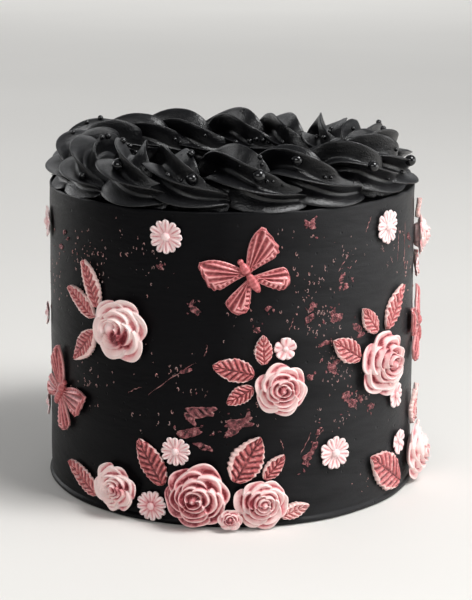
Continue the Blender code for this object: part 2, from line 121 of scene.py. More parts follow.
# Name, then base and tip as angle and height in mm, the width in mm, the share of paint, the share of the
# half width that the pale rim takes, and the pairs of veins.
LEAVES = (
    ("leaf_left_top", -42.6, 91.0, -48.3, 111.0, 9.6, 0.72, 0.34, 9),
    ("leaf_left_middle", -44.3, 86.4, -55.9, 97.6, 8.8, 0.68, 0.26, 9),
    ("leaf_left_low", -44.2, 80.2, -53.2, 65.4, 10.2, 0.75, 0.26, 9),
    ("leaf_centre_top", 9.2, 71.8, 8.8, 85.0, 7.8, 0.62, 0.10, 6),
    ("leaf_centre_middle", 6.6, 67.8, -5.4, 72.0, 10.4, 0.85, 0.10, 7),
    ("leaf_centre_low", 6.2, 62.2, -1.4, 55.6, 7.8, 0.78, 0.12, 6),
    ("leaf_right_top", 52.8, 79.0, 61.8, 97.0, 11.0, 0.66, 0.08, 8),
    ("leaf_right_middle", 48.0, 79.4, 41.0, 91.4, 8.4, 0.62, 0.08, 6),
    ("leaf_right_low", 40.8, 69.6, 30.4, 79.6, 10.4, 0.66, 0.09, 6),
    ("leaf_base_far_left", -43.4, 6.6, -56.7, 18.0, 9.4, 0.72, 0.12, 8),
    ("leaf_base_left", -20.0, 17.4, -27.6, 37.0, 11.2, 0.95, 0.08, 8),
    ("leaf_base_middle", 0.9, 20.4, 8.2, 40.8, 14.4, 0.9, 0.24, 8),
    ("leaf_base_right", 9.4, 21.4, 15.2, 32.4, 7.2, 0.80, 0.20, 6),
    ("leaf_base_far_right", 14.2, 4.6, 22.8, 9.0, 7.2, 0.40, 0.30, 6),
    ("leaf_edge_low", 62.2, 6.0, 45.4, 23.4, 16.2, 0.80, 0.12, 8),
    ("leaf_edge_up", 75.2, 27.0, 75.6, 43.6, 8.4, 0.60, 0.25, 7),
    ("leaf_edge_far", 83.4, 25.0, 88.4, 41.0, 10.0, 0.80, 0.14, 8),
    ("leaf_high_up", 87.6, 119.6, 83.8, 129.4, 6.8, 0.65, 0.2, 6),
    ("leaf_high_down", 91.2, 103.6, 90.6, 92.0, 7.6, 0.65, 0.2, 6),
    ("leaf_back_left_up", 216.0, 81.0, 206.0, 92.0, 9.6, 0.75, 0.16, 8),
    ("leaf_back_left_side", 229.4, 77.0, 241.0, 82.0, 9.0, 0.8, 0.12, 7),
    ("leaf_back_high_up", 145.0, 104.0, 138.6, 120.0, 10.2, 0.7, 0.26, 9),
    ("leaf_back_high_side", 158.4, 99.0, 170.0, 105.0, 9.2, 0.85, 0.10, 7),
    ("leaf_back_high_low", 155.6, 84.0, 162.4, 69.0, 9.8, 0.7, 0.2, 8),
    ("leaf_back_base_left", 168.0, 23.6, 160.2, 41.0, 11.6, 0.9, 0.1, 8),
    ("leaf_back_base_right", 184.4, 18.0, 199.0, 24.6, 10.6, 0.8, 0.2, 8),
)

# Name, angle, height, radius in mm, petals, turn in degrees and the share of paint in the heart.
DAISIES = (
    ("daisy_high_left", -19.0, 125.6, 7.6, 12, 0, 0.35),
    ("daisy_high_right", 52.8, 124.6, 7.8, 11, 10, 0.15),
    ("daisy_low_right", 31.6, 29.8, 7.8, 11, 20, 0.25),
    ("daisy_edge_high", -79.0, 119.6, 7.6, 12, 5, 0.3),
    ("daisy_edge_low", -86.6, 32.0, 6.4, 11, 12, 0.3),
    ("daisy_base_left", -23.7, 7.6, 7.2, 12, 8, 0.75),
    ("daisy_base_middle", -16.2, 33.2, 6.8, 12, 0, 0.3),
    ("daisy_back_high", 236.0, 117.0, 7.6, 12, 4, 0.3),
    ("daisy_back_low", 130.0, 44.0, 7.6, 11, 15, 0.3),
    ("daisy_back_base", 192.6, 8.0, 7.2, 12, 0, 0.5),
)
BLOSSOMS = (
    ("blossom_edge_middle", -84.0, 75.6, 5.6, 6, 0, 0.3),
    ("blossom_centre", 15.4, 78.4, 5.1, 5, 18, 0.35),
    ("blossom_right", 58.8, 47.4, 6.1, 6, 0, 0.5),
    ("blossom_edge_low", 61.8, 24.6, 6.0, 5, 30, 0.2),
    ("blossom_edge_high", 83.4, 97.6, 4.6, 5, 0, 0.4),
)

# Name, angle, height in mm, then the turn of the head to the left in degrees.
BUTTERFLIES = (
    ("butterfly_front", 4.8, 110.4, 31),
    ("butterfly_left", -62.4, 47.0, -38),
    ("butterfly_right", 82.4, 70.4, 10),
    ("butterfly_back", 190.0, 104.0, -20),
)
# Length in mm and spread from the body in degrees; then, by the share of the length, the widths in mm before
# and behind the line from root to tip.
UPPER_WING = (19.4, 48, ((0.0, 0.7, 0.7), (0.2, 2.2, 4.2), (0.45, 3.2, 9.0), (0.66, 3.3, 9.4),
                         (0.85, 2.4, 5.0), (1.0, 0.4, 0.8)))
LOWER_WING = (15.6, 128, ((0.0, 0.7, 0.7), (0.25, 2.6, 2.2), (0.55, 4.8, 3.6), (0.8, 6.0, 4.2),
                          (0.93, 4.0, 2.4), (1.0, 0.9, 0.5)))

# Pixel across and down of the flakes of metallic leaf on the front, their longest half width in mm, their
# turn in degrees and their narrowness.
FLAKES_IN_FRONT = (
    (201, 412, 6.2, 4, 0.42), (190, 418, 3.4, -50, 0.5), (189, 433, 5.6, 16, 0.36), (203, 447, 4.2, -18, 0.3),
    (238, 424, 5.8, 12, 0.40), (232, 432, 4.2, 30, 0.4), (246, 419, 3.0, 70, 0.4), (195, 310, 2.6, -30, 0.5),
    (191, 304, 1.8, 60, 0.4), (160, 267, 1.5, 0, 0.8), (186, 371, 2.8, 20, 0.3), (310, 225, 2.9, -25, 0.5),
    (313, 221, 2.2, 50, 0.4), (342, 278, 2.6, 70, 0.5), (344, 287, 2.8, 10, 0.5), (337, 318, 3.0, 5, 0.65),
    (333, 312, 1.8, 60, 0.5), (358, 328, 2.8, -40, 0.6), (361, 335, 2.0, 20, 0.6), (325, 343, 3.2, 12, 0.3),
    (334, 344, 1.8, -60, 0.5), (332, 368, 3.2, -50, 0.5), (336, 362, 2.0, 10, 0.6), (310, 318, 2.2, 40, 0.7),
    (313, 305, 1.6, 0, 0.7), (311, 309, 1.4, 60, 0.7), (257, 330, 1.4, 0, 0.9), (268, 308, 1.5, 30, 0.6),
    (345, 395, 2.0, 20, 0.7), (360, 398, 1.8, -30, 0.7), (310, 377, 1.5, 0, 0.9), (314, 447, 2.6, 62, 0.5),
    (308, 456, 2.6, 20, 0.6), (306, 463, 1.8, -30, 0.6), (318, 432, 1.6, 60, 0.4), (352, 402, 2.8, -20, 0.7),
    (347, 397, 2.2, 60, 0.7), (371, 406, 2.0, 0, 0.7), (65, 232, 1.6, 30, 0.6), (72, 400, 1.8, -20, 0.6),
)
# Angle and height in mm of the larger flakes round the rest, and their longest half width in mm.
FLAKES = (
    (-64.8, 112.0, 2.0), (70.6, 115.4, 2.2), (66.0, 60.6, 2.4), (108.0, 92.0, 3.0), (112.0, 50.0, 3.2),
    (140.0, 66.0, 4.4), (146.0, 60.0, 3.4), (196.0, 60.0, 5.0), (191.0, 54.0, 3.4), (243.0, 46.0, 3.0),
    (228.0, 98.0, 2.6), (236.0, 62.0, 4.2),
)
# Angle and height in mm of the middle of a drift of droplets, its spreads and how many droplets it has.
DRIFTS = (
    (-48, 112, 9, 9, 54), (-30, 120, 7, 7, 18), (-24, 108, 6, 8, 14), (-50, 58, 9, 10, 32),
    (-18, 70, 8, 10, 20), (24, 104, 7, 12, 40), (28, 86, 6, 12, 46), (32, 66, 6, 9, 34), (40, 52, 8, 8, 16),
    (36, 118, 7, 7, 22),
    (56, 112, 7, 8, 22), (10, 92, 12, 10, 16), (-4, 58, 12, 9, 16), (4, 48, 8, 5, 16), (-22, 44, 8, 6, 12),
    (30, 44, 8, 6, 14), (18, 124, 10, 5, 12), (70, 96, 7, 10, 18), (-70, 96, 8, 14, 22), (44, 14, 8, 5, 8),
    (110, 88, 16, 14, 40), (140, 60, 16, 12, 36), (200, 70, 16, 14, 40), (240, 60, 14, 14, 34),
    (230, 108, 12, 10, 26), (170, 120, 14, 7, 18), (265, 90, 12, 14, 24), (120, 118, 12, 8, 16),
)
# Hairlines of leaf on the front: the pixels across and down of both ends, and the width in mm.
STREAKS_IN_FRONT = (
    (148, 395, 197, 362, 0.4), (337, 276, 350, 252, 0.45), (342, 278, 360, 253, 0.5),
    (367, 276, 373, 258, 0.35), (365, 232, 372, 217, 0.4), (405, 220, 404, 270, 0.35),
    (399, 226, 397, 262, 0.35), (208, 345, 203, 356, 0.4), (279, 440, 285, 449, 0.4),
    (301, 455, 310, 432, 0.4), (316, 441, 324, 428, 0.4), (288, 330, 294, 318, 0.35),
    (128, 392, 142, 388, 0.45),
)
# Hairlines of leaf round the rest: angle and height in mm at both ends, and the width in mm.
STREAKS = (
    (205.0, 52.0, 213.0, 61.0, 0.5), (128.0, 74.0, 133.0, 84.0, 0.5), (246.0, 72.0, 252.0, 84.0, 0.45),
)

# Pixel across and down, and radius in mm, of the pearls that lie on the front of the rope.
PEARLS_IN_FRONT = (
    (119, 167, 2.9), (192, 181, 2.6), (259, 178, 2.9), (297, 162, 2.5), (373, 168, 2.4), (410, 162, 2.5),
    (83, 177, 1.8), (191, 155, 1.7), (168, 176, 1.2), (181, 181, 0.8), (187, 180, 0.7), (325, 178, 0.9),
    (331, 178, 0.8), (236, 143, 1.3), (250, 142, 1.5), (256, 140, 1.3), (263, 141, 1.5), (269, 143, 1.1),
    (283, 143, 1.2), (123, 142, 1.5), (130, 147, 1.4), (108, 137, 1.5), (102, 138, 1.2), (136, 153, 0.9),
    (317, 138, 1.3), (324, 138, 1.2), (353, 129, 1.0), (260, 158, 1.1), (262, 165, 0.8), (267, 182, 0.9),
    (273, 182, 0.7), (283, 186, 0.7), (175, 140, 1.1), (180, 143, 1.0), (205, 136, 0.9), (345, 140, 0.8),
    (396, 150, 1.0), (402, 173, 1.1), (388, 179, 0.8), (146, 170, 0.7), (215, 172, 0.6), (240, 166, 0.5),
)
# Angle along the rope, place across it in mm from its middle, and radius in mm, of those round the rest.
LARGE_PEARLS = (
    (-97.0, 8.0, 2.4), (98.0, 8.0, 2.6), (121.0, -6.0, 2.5), (143.0, 11.0, 2.7), (166.0, 2.0, 2.4),
    (188.0, 12.0, 2.8), (213.0, -4.0, 2.4), (236.0, 10.0, 2.6), (259.0, 3.0, 2.5),
)
# Angle, place across in mm, spread in mm, number and radius in mm of each cluster of small pearls.
PEARL_CLUSTERS = (
    (88.0, -2.0, 6, 4, 1.3), (-84.0, 2.0, 7, 4, 1.1), (112.0, 4.0, 8, 5, 1.2), (135.0, -4.0, 7, 4, 1.2),
    (158.0, 6.0, 8, 5, 1.2), (180.0, -6.0, 7, 5, 1.2), (203.0, 4.0, 7, 4, 1.1), (226.0, -2.0, 8, 5, 1.2),
    (250.0, 8.0, 7, 4, 1.2),
)
TINY_PEARLS = 90
# Share of a pearl's facing that has to be upwards, and how far the rope may drop round it.
LEVEL_ENOUGH = 0.6
LARGEST_DROP = 1.8 * MM


def linear(code):
    """Linear colour of an sRGB hex value: each part over 255, then the sRGB curve undone."""
    parts = [int(code[i:i + 2], 16) / 255 for i in (0, 2, 4)]
    return tuple(c / 12.92 if c <= 0.04045 else ((c + 0.055) / 1.055) ** 2.4 for c in parts)


def colour(code, name, text):
    """A colour that a user may change."""
    return FloatVectorProperty(name=name, description=text, default=linear(code), subtype="COLOR", size=3,
                               min=0.0, max=1.0)


def length(value, name, text):
    """A length that a user may change."""
    return FloatProperty(name=name, description=text, default=value, subtype="DISTANCE", unit="LENGTH")


def watts(value, name, text):
    """A light's power that a user may change."""
    return FloatProperty(name=name, description=text, default=value, unit="POWER")


class IcingSettings(bpy.types.PropertyGroup):
    """Sizes and colours of the iced wall and the piped border."""

    lip: length(0.7 * MM, "Lip", "Height of the ragged edge left by the scraper round the top")
    foot: length(0.9 * MM, "Foot bead", "How far the bead of icing at the base stands out")
    blades: IntProperty(name="Blades", description="Blades that the nozzle leaves on one piped stroke",
                        default=6, min=3, max=9)
    black: colour("040406", "Black", "Colour of the icing")
    # On the scraped wall this grey is laid round the right-hand side as a painted sheen of the light from the
    # right; on the rope it is the dry bloom.
    bloom_and_painted_sheen: colour("2c2c2d", "Bloom", "Colour of the dry bloom on the icing")
    pearl: colour("08080a", "Pearl", "Colour of the sugar pearls")


class SugarSettings(bpy.types.PropertyGroup):
    """Colours of the moulded sugar ornaments."""

    petal_pale: colour("f2dad6", "Petal", "Colour of the rose petals at their edges")
    petal_mid: colour("d5868a", "Petal faces", "Colour brushed on the faces of the petals")
    petal_deep: colour("7d1f2a", "Petal folds", "Colour that gathers in the folds of the roses")
    leaf_pale: colour("f0d0ca", "Leaf edge", "Colour of the leaves at their rims")
    leaf_mid: colour("bd5f60", "Leaf", "Colour brushed on the leaves")
    # In the leaves' grooves this colour is partly paint gathered in the veins and partly painted shade.
    leaf_vein_paint_and_shade: colour("561219", "Leaf veins", "Colour that gathers in the veins")
    blossom: colour("f0dcda", "Blossom", "Colour of the daisies and blossoms")
    # This pale colour on the ribs and raised edges of the wings is a painted highlight.
    wing_rib_highlight: colour("eeb0ae", "Wing ribs", "Colour of the butterflies on their ribs")
    wing_mid: colour("bb6062", "Wing", "Colour of the butterflies")
    wing_deep: colour("6c2024", "Wing folds", "Colour between the ribs of the wings")


class LeafMetalSettings(bpy.types.PropertyGroup):
    """The metallic leaf and its droplets."""

    edge: colour("b58480", "Leaf edge", "Colour of the leaf at its torn edges and creases")
    foil: colour("84454a", "Leaf", "Colour of the leaf")
    shade: colour("2c1214", "Leaf folds", "Colour of the leaf in its folds")
    drop: colour("95827e", "Droplets", "Colour of the droplets")


class StageSettings(bpy.types.PropertyGroup):
    """Floor and lights."""

    floor: colour("d9d7d3", "Floor", "Colour of the floor")
    key_power: watts(18.0, "Key", "Power of the large soft light at the right")
    rim_power: watts(8.6, "Rim", "Power of the light behind on the left")
    top_power: watts(24.0, "Top", "Power of the light overhead")
    fill_power: watts(15.0, "Fill", "Power of the light in front")
    room: FloatProperty(name="Room", description="Strength of the light from the room", default=0.3, min=0.0)


SETTINGS = {
    "cake_icing": IcingSettings,
    "cake_sugar": SugarSettings,
    "cake_leaf": LeafMetalSettings,
    "cake_stage": StageSettings,
}


def add(tree, kind, inputs=None, **settings):
    """A new node with its settings, its socket values, and links where a value is another node's socket."""
    node = tree.nodes.new(kind)
    for key, value in settings.items():
        setattr(node, key, value)
    for key, value in (inputs or {}).items():
        if isinstance(value, bpy.types.NodeSocket):
            tree.links.new(value, node.inputs[key])
        else:
            node.inputs[key].default_value = value
    return node


def new_material(name):
    """A material with its tree emptied, its surface shader and its Object coordinates."""
    made = bpy.data.materials.new(name)
    made.use_nodes = True
    tree = made.node_tree
    tree.nodes.clear()
    shader = add(tree, "ShaderNodeBsdfPrincipled")
    out = add(tree, "ShaderNodeOutputMaterial")
    tree.links.new(shader.outputs["BSDF"], out.inputs["Surface"])
    place = add(tree, "ShaderNodeTexCoord").outputs["Object"]
    return made, tree, shader, place


def blend_colours(tree, share, first, second):
    """A colour between two, by a share from 0 to 1."""
    node = add(tree, "ShaderNodeMix", {"Factor": share}, data_type="RGBA")
    for index, value in ((6, first), (7, second)):
        if isinstance(value, bpy.types.NodeSocket):
            tree.links.new(value, node.inputs[index])
        else:
            node.inputs[index].default_value = (*value, 1.0)
    return node.outputs[2]


def ranged(tree, value, low, high, to_low=0.0, to_high=1.0):
    """A value moved from one range to another, and kept inside it."""
    node = add(tree, "ShaderNodeMapRange", {"Value": value, "From Min": low, "From Max": high,
                                            "To Min": to_low, "To Max": to_high})
    return node.outputs["Result"]


def black_buttercream(name, grain_size, grain_depth, pits, ior, roughness):
    """Black buttercream, scraped or piped, then dried: a dull satin skin with a grey bloom and a fine grain.

    The grain is the sugar, drawn 0.5 to 0.6 mm across so that it shows; the pits are burst air bubbles 0.5 to
    1 mm across. The bloom is cloudy. On the scraped wall the grey is laid only round the right-hand side, as
    a painted sheen of the light from the right. The fat at the surface gives a weak gloss that shows most at
    a glancing angle.
    """
    settings = bpy.context.scene.cake_icing
    made, tree, shader, place = new_material(name)
    stretched = add(tree, "ShaderNodeMapping", {"Vector": place, "Scale": (1.0, 1.0, 4.0)})
    bloom = add(tree, "ShaderNodeTexNoise", {"Vector": stretched.outputs[0], "Scale": 1 / (30 * MM),
                                             "Detail": 5.0, "Roughness": 0.6})
    share = ranged(tree, bloom.outputs["Fac"], 0.45, 0.8, 0.0, 0.08)
    # On the scraped wall the grey goes only round the right-hand side, made cloudy: a painted sheen of the
    # light from the right, in place of the even bloom.
    if pits:
        towards = (0.94 / TOP_RADIUS, -0.34 / TOP_RADIUS, 0.0)
        side = add(tree, "ShaderNodeVectorMath", {0: place, 1: towards}, operation="DOT_PRODUCT")
        cloudy = ranged(tree, bloom.outputs["Fac"], 0.3, 0.7, 0.6, 1.1)
        share = add(tree, "ShaderNodeMath", {0: ranged(tree, side.outputs["Value"], 0.28, 0.95), 1: cloudy},
                    operation="MULTIPLY", use_clamp=True).outputs[0]
    tree.links.new(blend_colours(tree, share, settings.black, settings.bloom_and_painted_sheen), shader.inputs["Base Color"])
    rough = ranged(tree, bloom.outputs["Fac"], 0.3, 0.7, roughness - 0.05, roughness + 0.05)
    tree.links.new(rough, shader.inputs["Roughness"])
    shader.inputs["IOR"].default_value = ior
    grain = add(tree, "ShaderNodeTexNoise", {"Vector": place, "Scale": 1 / grain_size, "Detail": 1.5,
                                             "Roughness": 0.6})
    relief = add(tree, "ShaderNodeBump", {"Height": grain.outputs["Fac"], "Strength": 1.0,
                                          "Distance": grain_depth})
    smear = add(tree, "ShaderNodeTexNoise", {"Vector": stretched.outputs[0], "Scale": 1 / (9 * MM),
                                             "Detail": 3.0})
    last = add(tree, "ShaderNodeBump", {"Height": smear.outputs["Fac"], "Strength": 1.0,
                                        "Distance": 0.25 * MM, "Normal": relief.outputs["Normal"]})
    if pits:
        cells = add(tree, "ShaderNodeTexVoronoi", {"Vector": place, "Scale": 1 / (5.5 * MM),
                                                   "Randomness": 1.0})
        hole = ranged(tree, cells.outputs["Distance"], 0.05, 0.12)
        last = add(tree, "ShaderNodeBump", {"Height": hole, "Strength": 0.7, "Distance": 0.35 * MM,
                                            "Normal": last.outputs["Normal"]})
    tree.links.new(last.outputs["Normal"], shader.inputs["Normal"])
    return made


def sugar_paste(name, pale, middle, deep, roughness, sheen=0.0, metallic=0.0, coat=0.0, grain=0.12):
    """Sugar paste pressed in a mould, then brushed with colour that stays in its folds.

    The attribute paint says how much colour a place holds: pale at 0, the middle colour at a half and the
    deep one at 1. On the leaves, the daisies and blossoms and the wings it also carries painted highlights
    and painted shade. A little light passes through the thin edges. The grain is the depth of the dusting, in
    mm.
    """
    made, tree, shader, place = new_material(name)
    paint = add(tree, "ShaderNodeAttribute", attribute_name="paint")
    cloud = add(tree, "ShaderNodeTexNoise", {"Vector": place, "Scale": 1 / (1.6 * MM), "Detail": 4.0,
                                             "Roughness": 0.6})
    worn = ranged(tree, cloud.outputs["Fac"], 0.3, 0.7, 0.7, 1.3)
    share = add(tree, "ShaderNodeMath", {0: paint.outputs["Fac"], 1: worn}, operation="MULTIPLY",
                use_clamp=True)
    first = blend_colours(tree, ranged(tree, share.outputs[0], 0.0, 0.5), pale, middle)
    tint = blend_colours(tree, ranged(tree, share.outputs[0], 0.5, 1.0), first, deep)
    tree.links.new(tint, shader.inputs["Base Color"])
    shader.inputs["Roughness"].default_value = roughness
    shader.inputs["Metallic"].default_value = metallic
    shader.inputs["Coat Weight"].default_value = coat
    shader.inputs["Coat Roughness"].default_value = 0.25
    shader.inputs["Sheen Weight"].default_value = sheen
    shader.inputs["IOR"].default_value = 1.45
    shader.inputs["Subsurface Weight"].default_value = 0.1
    shader.inputs["Subsurface Radius"].default_value = (1.0, 0.45, 0.35)
    shader.inputs["Subsurface Scale"].default_value = 0.8 * MM
    dust = add(tree, "ShaderNodeTexNoise", {"Vector": place, "Scale": 1 / (0.55 * MM), "Detail": 3.0})
    relief = add(tree, "ShaderNodeBump", {"Height": dust.outputs["Fac"], "Strength": 1.0,
                                          "Distance": grain * MM})
    tree.links.new(relief.outputs["Normal"], shader.inputs["Normal"])
    return made


def metallic_leaf(name, edge, foil, shade):
    """Rose-gold leaf, crumpled as it was pressed on: a dull metal skin with creases a millimetre or so apart.

    Its torn edges and creases catch the light and its folds are dark, which the attribute paint says.
    """
    made, tree, shader, place = new_material(name)
    paint = add(tree, "ShaderNodeAttribute", attribute_name="paint")
    creases = add(tree, "ShaderNodeTexNoise", {"Vector": place, "Scale": 1 / (1.3 * MM), "Detail": 4.0,
                                               "Roughness": 0.65, "Distortion": 0.8})
    tone = ranged(tree, creases.outputs["Fac"], 0.3, 0.7, -0.3, 0.3)
    share = add(tree, "ShaderNodeMath", {0: paint.outputs["Fac"], 1: tone}, operation="ADD", use_clamp=True)
    first = blend_colours(tree, ranged(tree, share.outputs[0], 0.0, 0.5), edge, foil)
    tint = blend_colours(tree, ranged(tree, share.outputs[0], 0.5, 1.0), first, shade)
    tree.links.new(tint, shader.inputs["Base Color"])
    shader.inputs["Metallic"].default_value = 0.4
    shader.inputs["Roughness"].default_value = 0.42
    relief = add(tree, "ShaderNodeBump", {"Height": creases.outputs["Fac"], "Strength": 1.0,
                                          "Distance": 0.35 * MM})
    tree.links.new(relief.outputs["Normal"], shader.inputs["Normal"])
    return made


def sugar_pearl(name, tint):
    """Polished black sugar pearls: hard, glossy shells with the faintest orange peel."""
    made, tree, shader, place = new_material(name)
    shader.inputs["Base Color"].default_value = (*tint, 1.0)
    shader.inputs["Roughness"].default_value = 0.16
    shader.inputs["IOR"].default_value = 1.5
    peel = add(tree, "ShaderNodeTexNoise", {"Vector": place, "Scale": 1 / (1.5 * MM), "Detail": 2.0})
    relief = add(tree, "ShaderNodeBump", {"Height": peel.outputs["Fac"], "Strength": 0.5,
                                          "Distance": 0.12 * MM})
    tree.links.new(relief.outputs["Normal"], shader.inputs["Normal"])
    return made


def wall_radius(height):
    """Radius of the wall at a height: it leans in evenly towards the top."""
    return BASE_RADIUS + (TOP_RADIUS - BASE_RADIUS) * height / CAKE_HEIGHT


def wrapped(across, up, out, angle, height):
    """Points drawn flat, laid on the wall round the place at angle (degrees) and height.

    The turn is the angle plus the arc over the radius, and out is added to the radius.
    """
    z = height + up
    radius = wall_radius(z)
    turn = math.radians(angle) + across / radius
    return np.stack([(radius + out) * np.sin(turn), -(radius + out) * np.cos(turn), z + 0 * turn], -1)


def laid(x, y, out, angle, height):
    """The same for points and a height in millimetres."""
    return wrapped(x * MM, y * MM, out * MM, angle, height * MM)


def place_on_wall(point):
    """Angle in degrees and height in mm of a point on the wall."""
    return math.degrees(math.atan2(point.x, -point.y)), point.z / MM


def seed_of(name):
    """A fixed seed for a piece, from its name."""
    return sum(ord(letter) for letter in name)


def camera_turn():
    """The camera's rotation: looking along +Y, then down, to the right and rolled by CAMERA_TURNS."""
    pitch, yaw, roll = (math.radians(turn) for turn in CAMERA_TURNS)
    ahead = Vector((math.sin(yaw) * math.cos(pitch), math.cos(yaw) * math.cos(pitch), -math.sin(pitch)))
    return Quaternion(ahead, roll) @ ahead.to_track_quat("-Z", "Y")


def seen_at(surface, x, y):
    """The point of a surface that the camera sees at a pixel of the frame."""
    reach = CAMERA_LENS / SENSOR_WIDTH * FRAME_HEIGHT
    ray = camera_turn() @ Vector((x - FRAME_WIDTH / 2, FRAME_HEIGHT / 2 - y, -reach))
    return surface.ray_cast(Vector(CAMERA_PLACE), ray.normalized())[0]


def ripple(seed, first, second, waves, reach_one, reach_two):
    """A smooth uneven field: a sum of cosines with whole numbers of waves over the first parameter."""
    draw = np.random.default_rng(seed)
    total = 0.0
    for _ in range(waves):
        k = draw.integers(1, reach_one + 1)
        m = draw.uniform(-reach_two, reach_two)
        total = total + np.cos(k * first + m * second + draw.uniform(0, 2 * np.pi)) / math.sqrt(waves)
    return total


def smoothstep(low, high, x):
    """From 0 at low to 1 at high, level at both ends."""
    t = np.clip((x - low) / (high - low), 0, 1)
    return t * t * (3 - 2 * t)


def grid_faces(rows, columns, start, wrap_rows=False, wrap_columns=False):
    """Four-sided faces of a grid of points numbered row by row."""
    i, j = np.indices((rows - (not wrap_rows), columns - (not wrap_columns))).reshape(2, -1)
    k, m = (i + 1) % rows, (j + 1) % columns
    return start + np.stack([i * columns + j, i * columns + m, k * columns + m, k * columns + j], -1)


def piece_from(name, grids, finish, replaced=(), recalculate=True):
    """One mesh piece from grids of points (rows, columns, xyz), each with its paint and how it wraps."""
    points, faces, paints = [], [], []
    start = 0
    for grid, paint, wrap_rows, wrap_columns in grids:
        rows, columns = grid.shape[:2]
        points.append(grid.reshape(-1, 3))
        paints.append(np.broadcast_to(paint, (rows, columns)).reshape(-1))
        faces.append(grid_faces(rows, columns, start, wrap_rows, wrap_columns))
        start += rows * columns
    points = np.concatenate(points)
    faces = np.concatenate(faces)
    mesh = bpy.data.meshes.new(name)
    mesh.vertices.add(len(points))
    mesh.vertices.foreach_set("co", points.astype(np.float32).ravel())
    mesh.loops.add(faces.size)
    mesh.loops.foreach_set("vertex_index", faces.astype(np.int32).ravel())
    mesh.polygons.add(len(faces))
    mesh.polygons.foreach_set("loop_start", np.arange(0, faces.size, 4, dtype=np.int32))
    mesh.update(calc_edges=True)
    layer = mesh.attributes.new("paint", "FLOAT", "POINT")
    layer.data.foreach_set("value", np.concatenate(paints).astype(np.float32))
    shape = bmesh.new()
    shape.from_mesh(mesh)
    bmesh.ops.remove_doubles(shape, verts=shape.verts, dist=1e-6)
    if recalculate:
        bmesh.ops.recalc_face_normals(shape, faces=shape.faces)
    shape.to_mesh(mesh)
    shape.free()
    mesh.shade_smooth()
    mesh.materials.append(finish)
    piece = bpy.data.objects.new(name, mesh)
    bpy.context.scene.collection.objects.link(piece)
    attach(piece, "root")
    if replaced:
        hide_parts(*replaced)
    return piece


def iced_wall():
    """The iced cake: a turned profile of top, ragged lip, wall, foot bead and underside.

    Its radius has scraper smears, its lip a height that wanders round the rim, and its top the slow spiral
    of a spatula.
    """
    settings = bpy.context.scene.cake_icing
    turn = np.linspace(0, 2 * np.pi, WALL_COLUMNS, endpoint=False)[None, :]
    rows = []
    top = np.linspace(0, 1, 26)[:, None] * (TOP_RADIUS - 1.8 * MM)
    swirl = 0.22 * MM * np.sin(2 * np.pi * top / (8 * MM) + turn) * np.minimum(1, top / (12 * MM))
    swirl = swirl + 0.18 * MM * ripple(3, turn, top / (9 * MM), 9, 6, 1.2) * np.minimum(1, top / (12 * MM))
    rows.append((top + 0 * turn, CAKE_HEIGHT - 0.2 * MM + swirl))
    ragged = ripple(5, turn, 0 * turn, 14, 46, 0)
    lip = settings.lip * (0.75 + 0.3 * ripple(6, turn, 0 * turn, 10, 12, 0) + 0.25 * ragged)
    lip = np.clip(lip, 0.05 * MM, 1.3 * MM)
    lean = 0.12 * MM * ripple(7, turn, 0 * turn, 12, 30, 0)
    for inset, share, drop in ((1.1, 0.35, 0.0), (0.7, 0.85, 0.0), (0.4, 1.0, 0.0), (0.12, 0.92, 0.15),
                               (-0.02, 0.3, 0.5), (0.0, 0.0, 0.9)):
        rows.append((TOP_RADIUS - inset * MM + lean * share, CAKE_HEIGHT + lip * share - drop * MM))
    height = np.linspace(CAKE_HEIGHT - 1.7 * MM, 3.4 * MM, 92)[:, None]
    smears = 0.10 * MM * ripple(11, turn, height / (4 * MM), 16, 9, 1.0)
    smears = smears + 0.14 * MM * ripple(12, turn, height / (14 * MM), 12, 7, 1.2)
    smears = smears * smoothstep(0, 5 * MM, CAKE_HEIGHT - height) * smoothstep(3 * MM, 8 * MM, height)
    rows.append((wall_radius(height) + smears, height + 0 * turn))
    bead = settings.foot * (1 + 0.2 * ripple(13, turn, 0 * turn, 9, 14, 0))
    for out, z in ((-0.1, 2.9), (0.1, 2.6), (0.6, 2.25), (0.92, 1.75), (1.0, 1.25), (0.85, 0.65), (0.35, 0.2),
                   (-0.3, 0.02)):
        rows.append((BASE_RADIUS + bead * out, z * MM + 0 * turn))
    under = np.linspace(0.97, 0.0, 5)[:, None] * BASE_RADIUS
    rows.append((under + 0 * turn, 0 * under + 0 * turn))
    radius = np.concatenate([np.broadcast_to(r, (r.shape[0], WALL_COLUMNS)) for r, z in rows])
    height = np.concatenate([np.broadcast_to(z, (z.shape[0], WALL_COLUMNS)) for r, z in rows])
    grid = np.stack([radius * np.sin(turn), -radius * np.cos(turn), height], -1)
    # The dry, scraped skin mirrors less than fat does, so its IOR is low.
    # True gives the wall its pits and lays the grey round its right-hand side as a painted sheen.
    finish = black_buttercream("scraped_black_buttercream_painted_sheen", 0.5 * MM, 0.05 * MM, True, 1.18, 0.40)
    return piece_from("iced_wall", [(grid, 0.0, False, True)], finish, ["cake"])


def star_outline(blades):
    """Closed outline of one stroke: thin blades over round valleys, as a star nozzle leaves them.

    The reach is the valley's share plus a bell curve round each blade, and the lean turns the tips one way.
    """
    step = np.linspace(-1, 1, 16, endpoint=False)[None, :]
    place = 0.5 * np.sign(step) * np.abs(step) ** 1.5
    bell = np.exp(-(2 * place / BLADE_WIDTH) ** 2)
    reach = VALLEY + (1 - VALLEY) * bell
    turn = (np.arange(blades)[:, None] + place) / blades * 2 * np.pi + BLADE_LEAN * bell ** 1.5
    return np.stack([reach * np.cos(turn), reach * np.sin(turn)], -1).reshape(-1, 2)


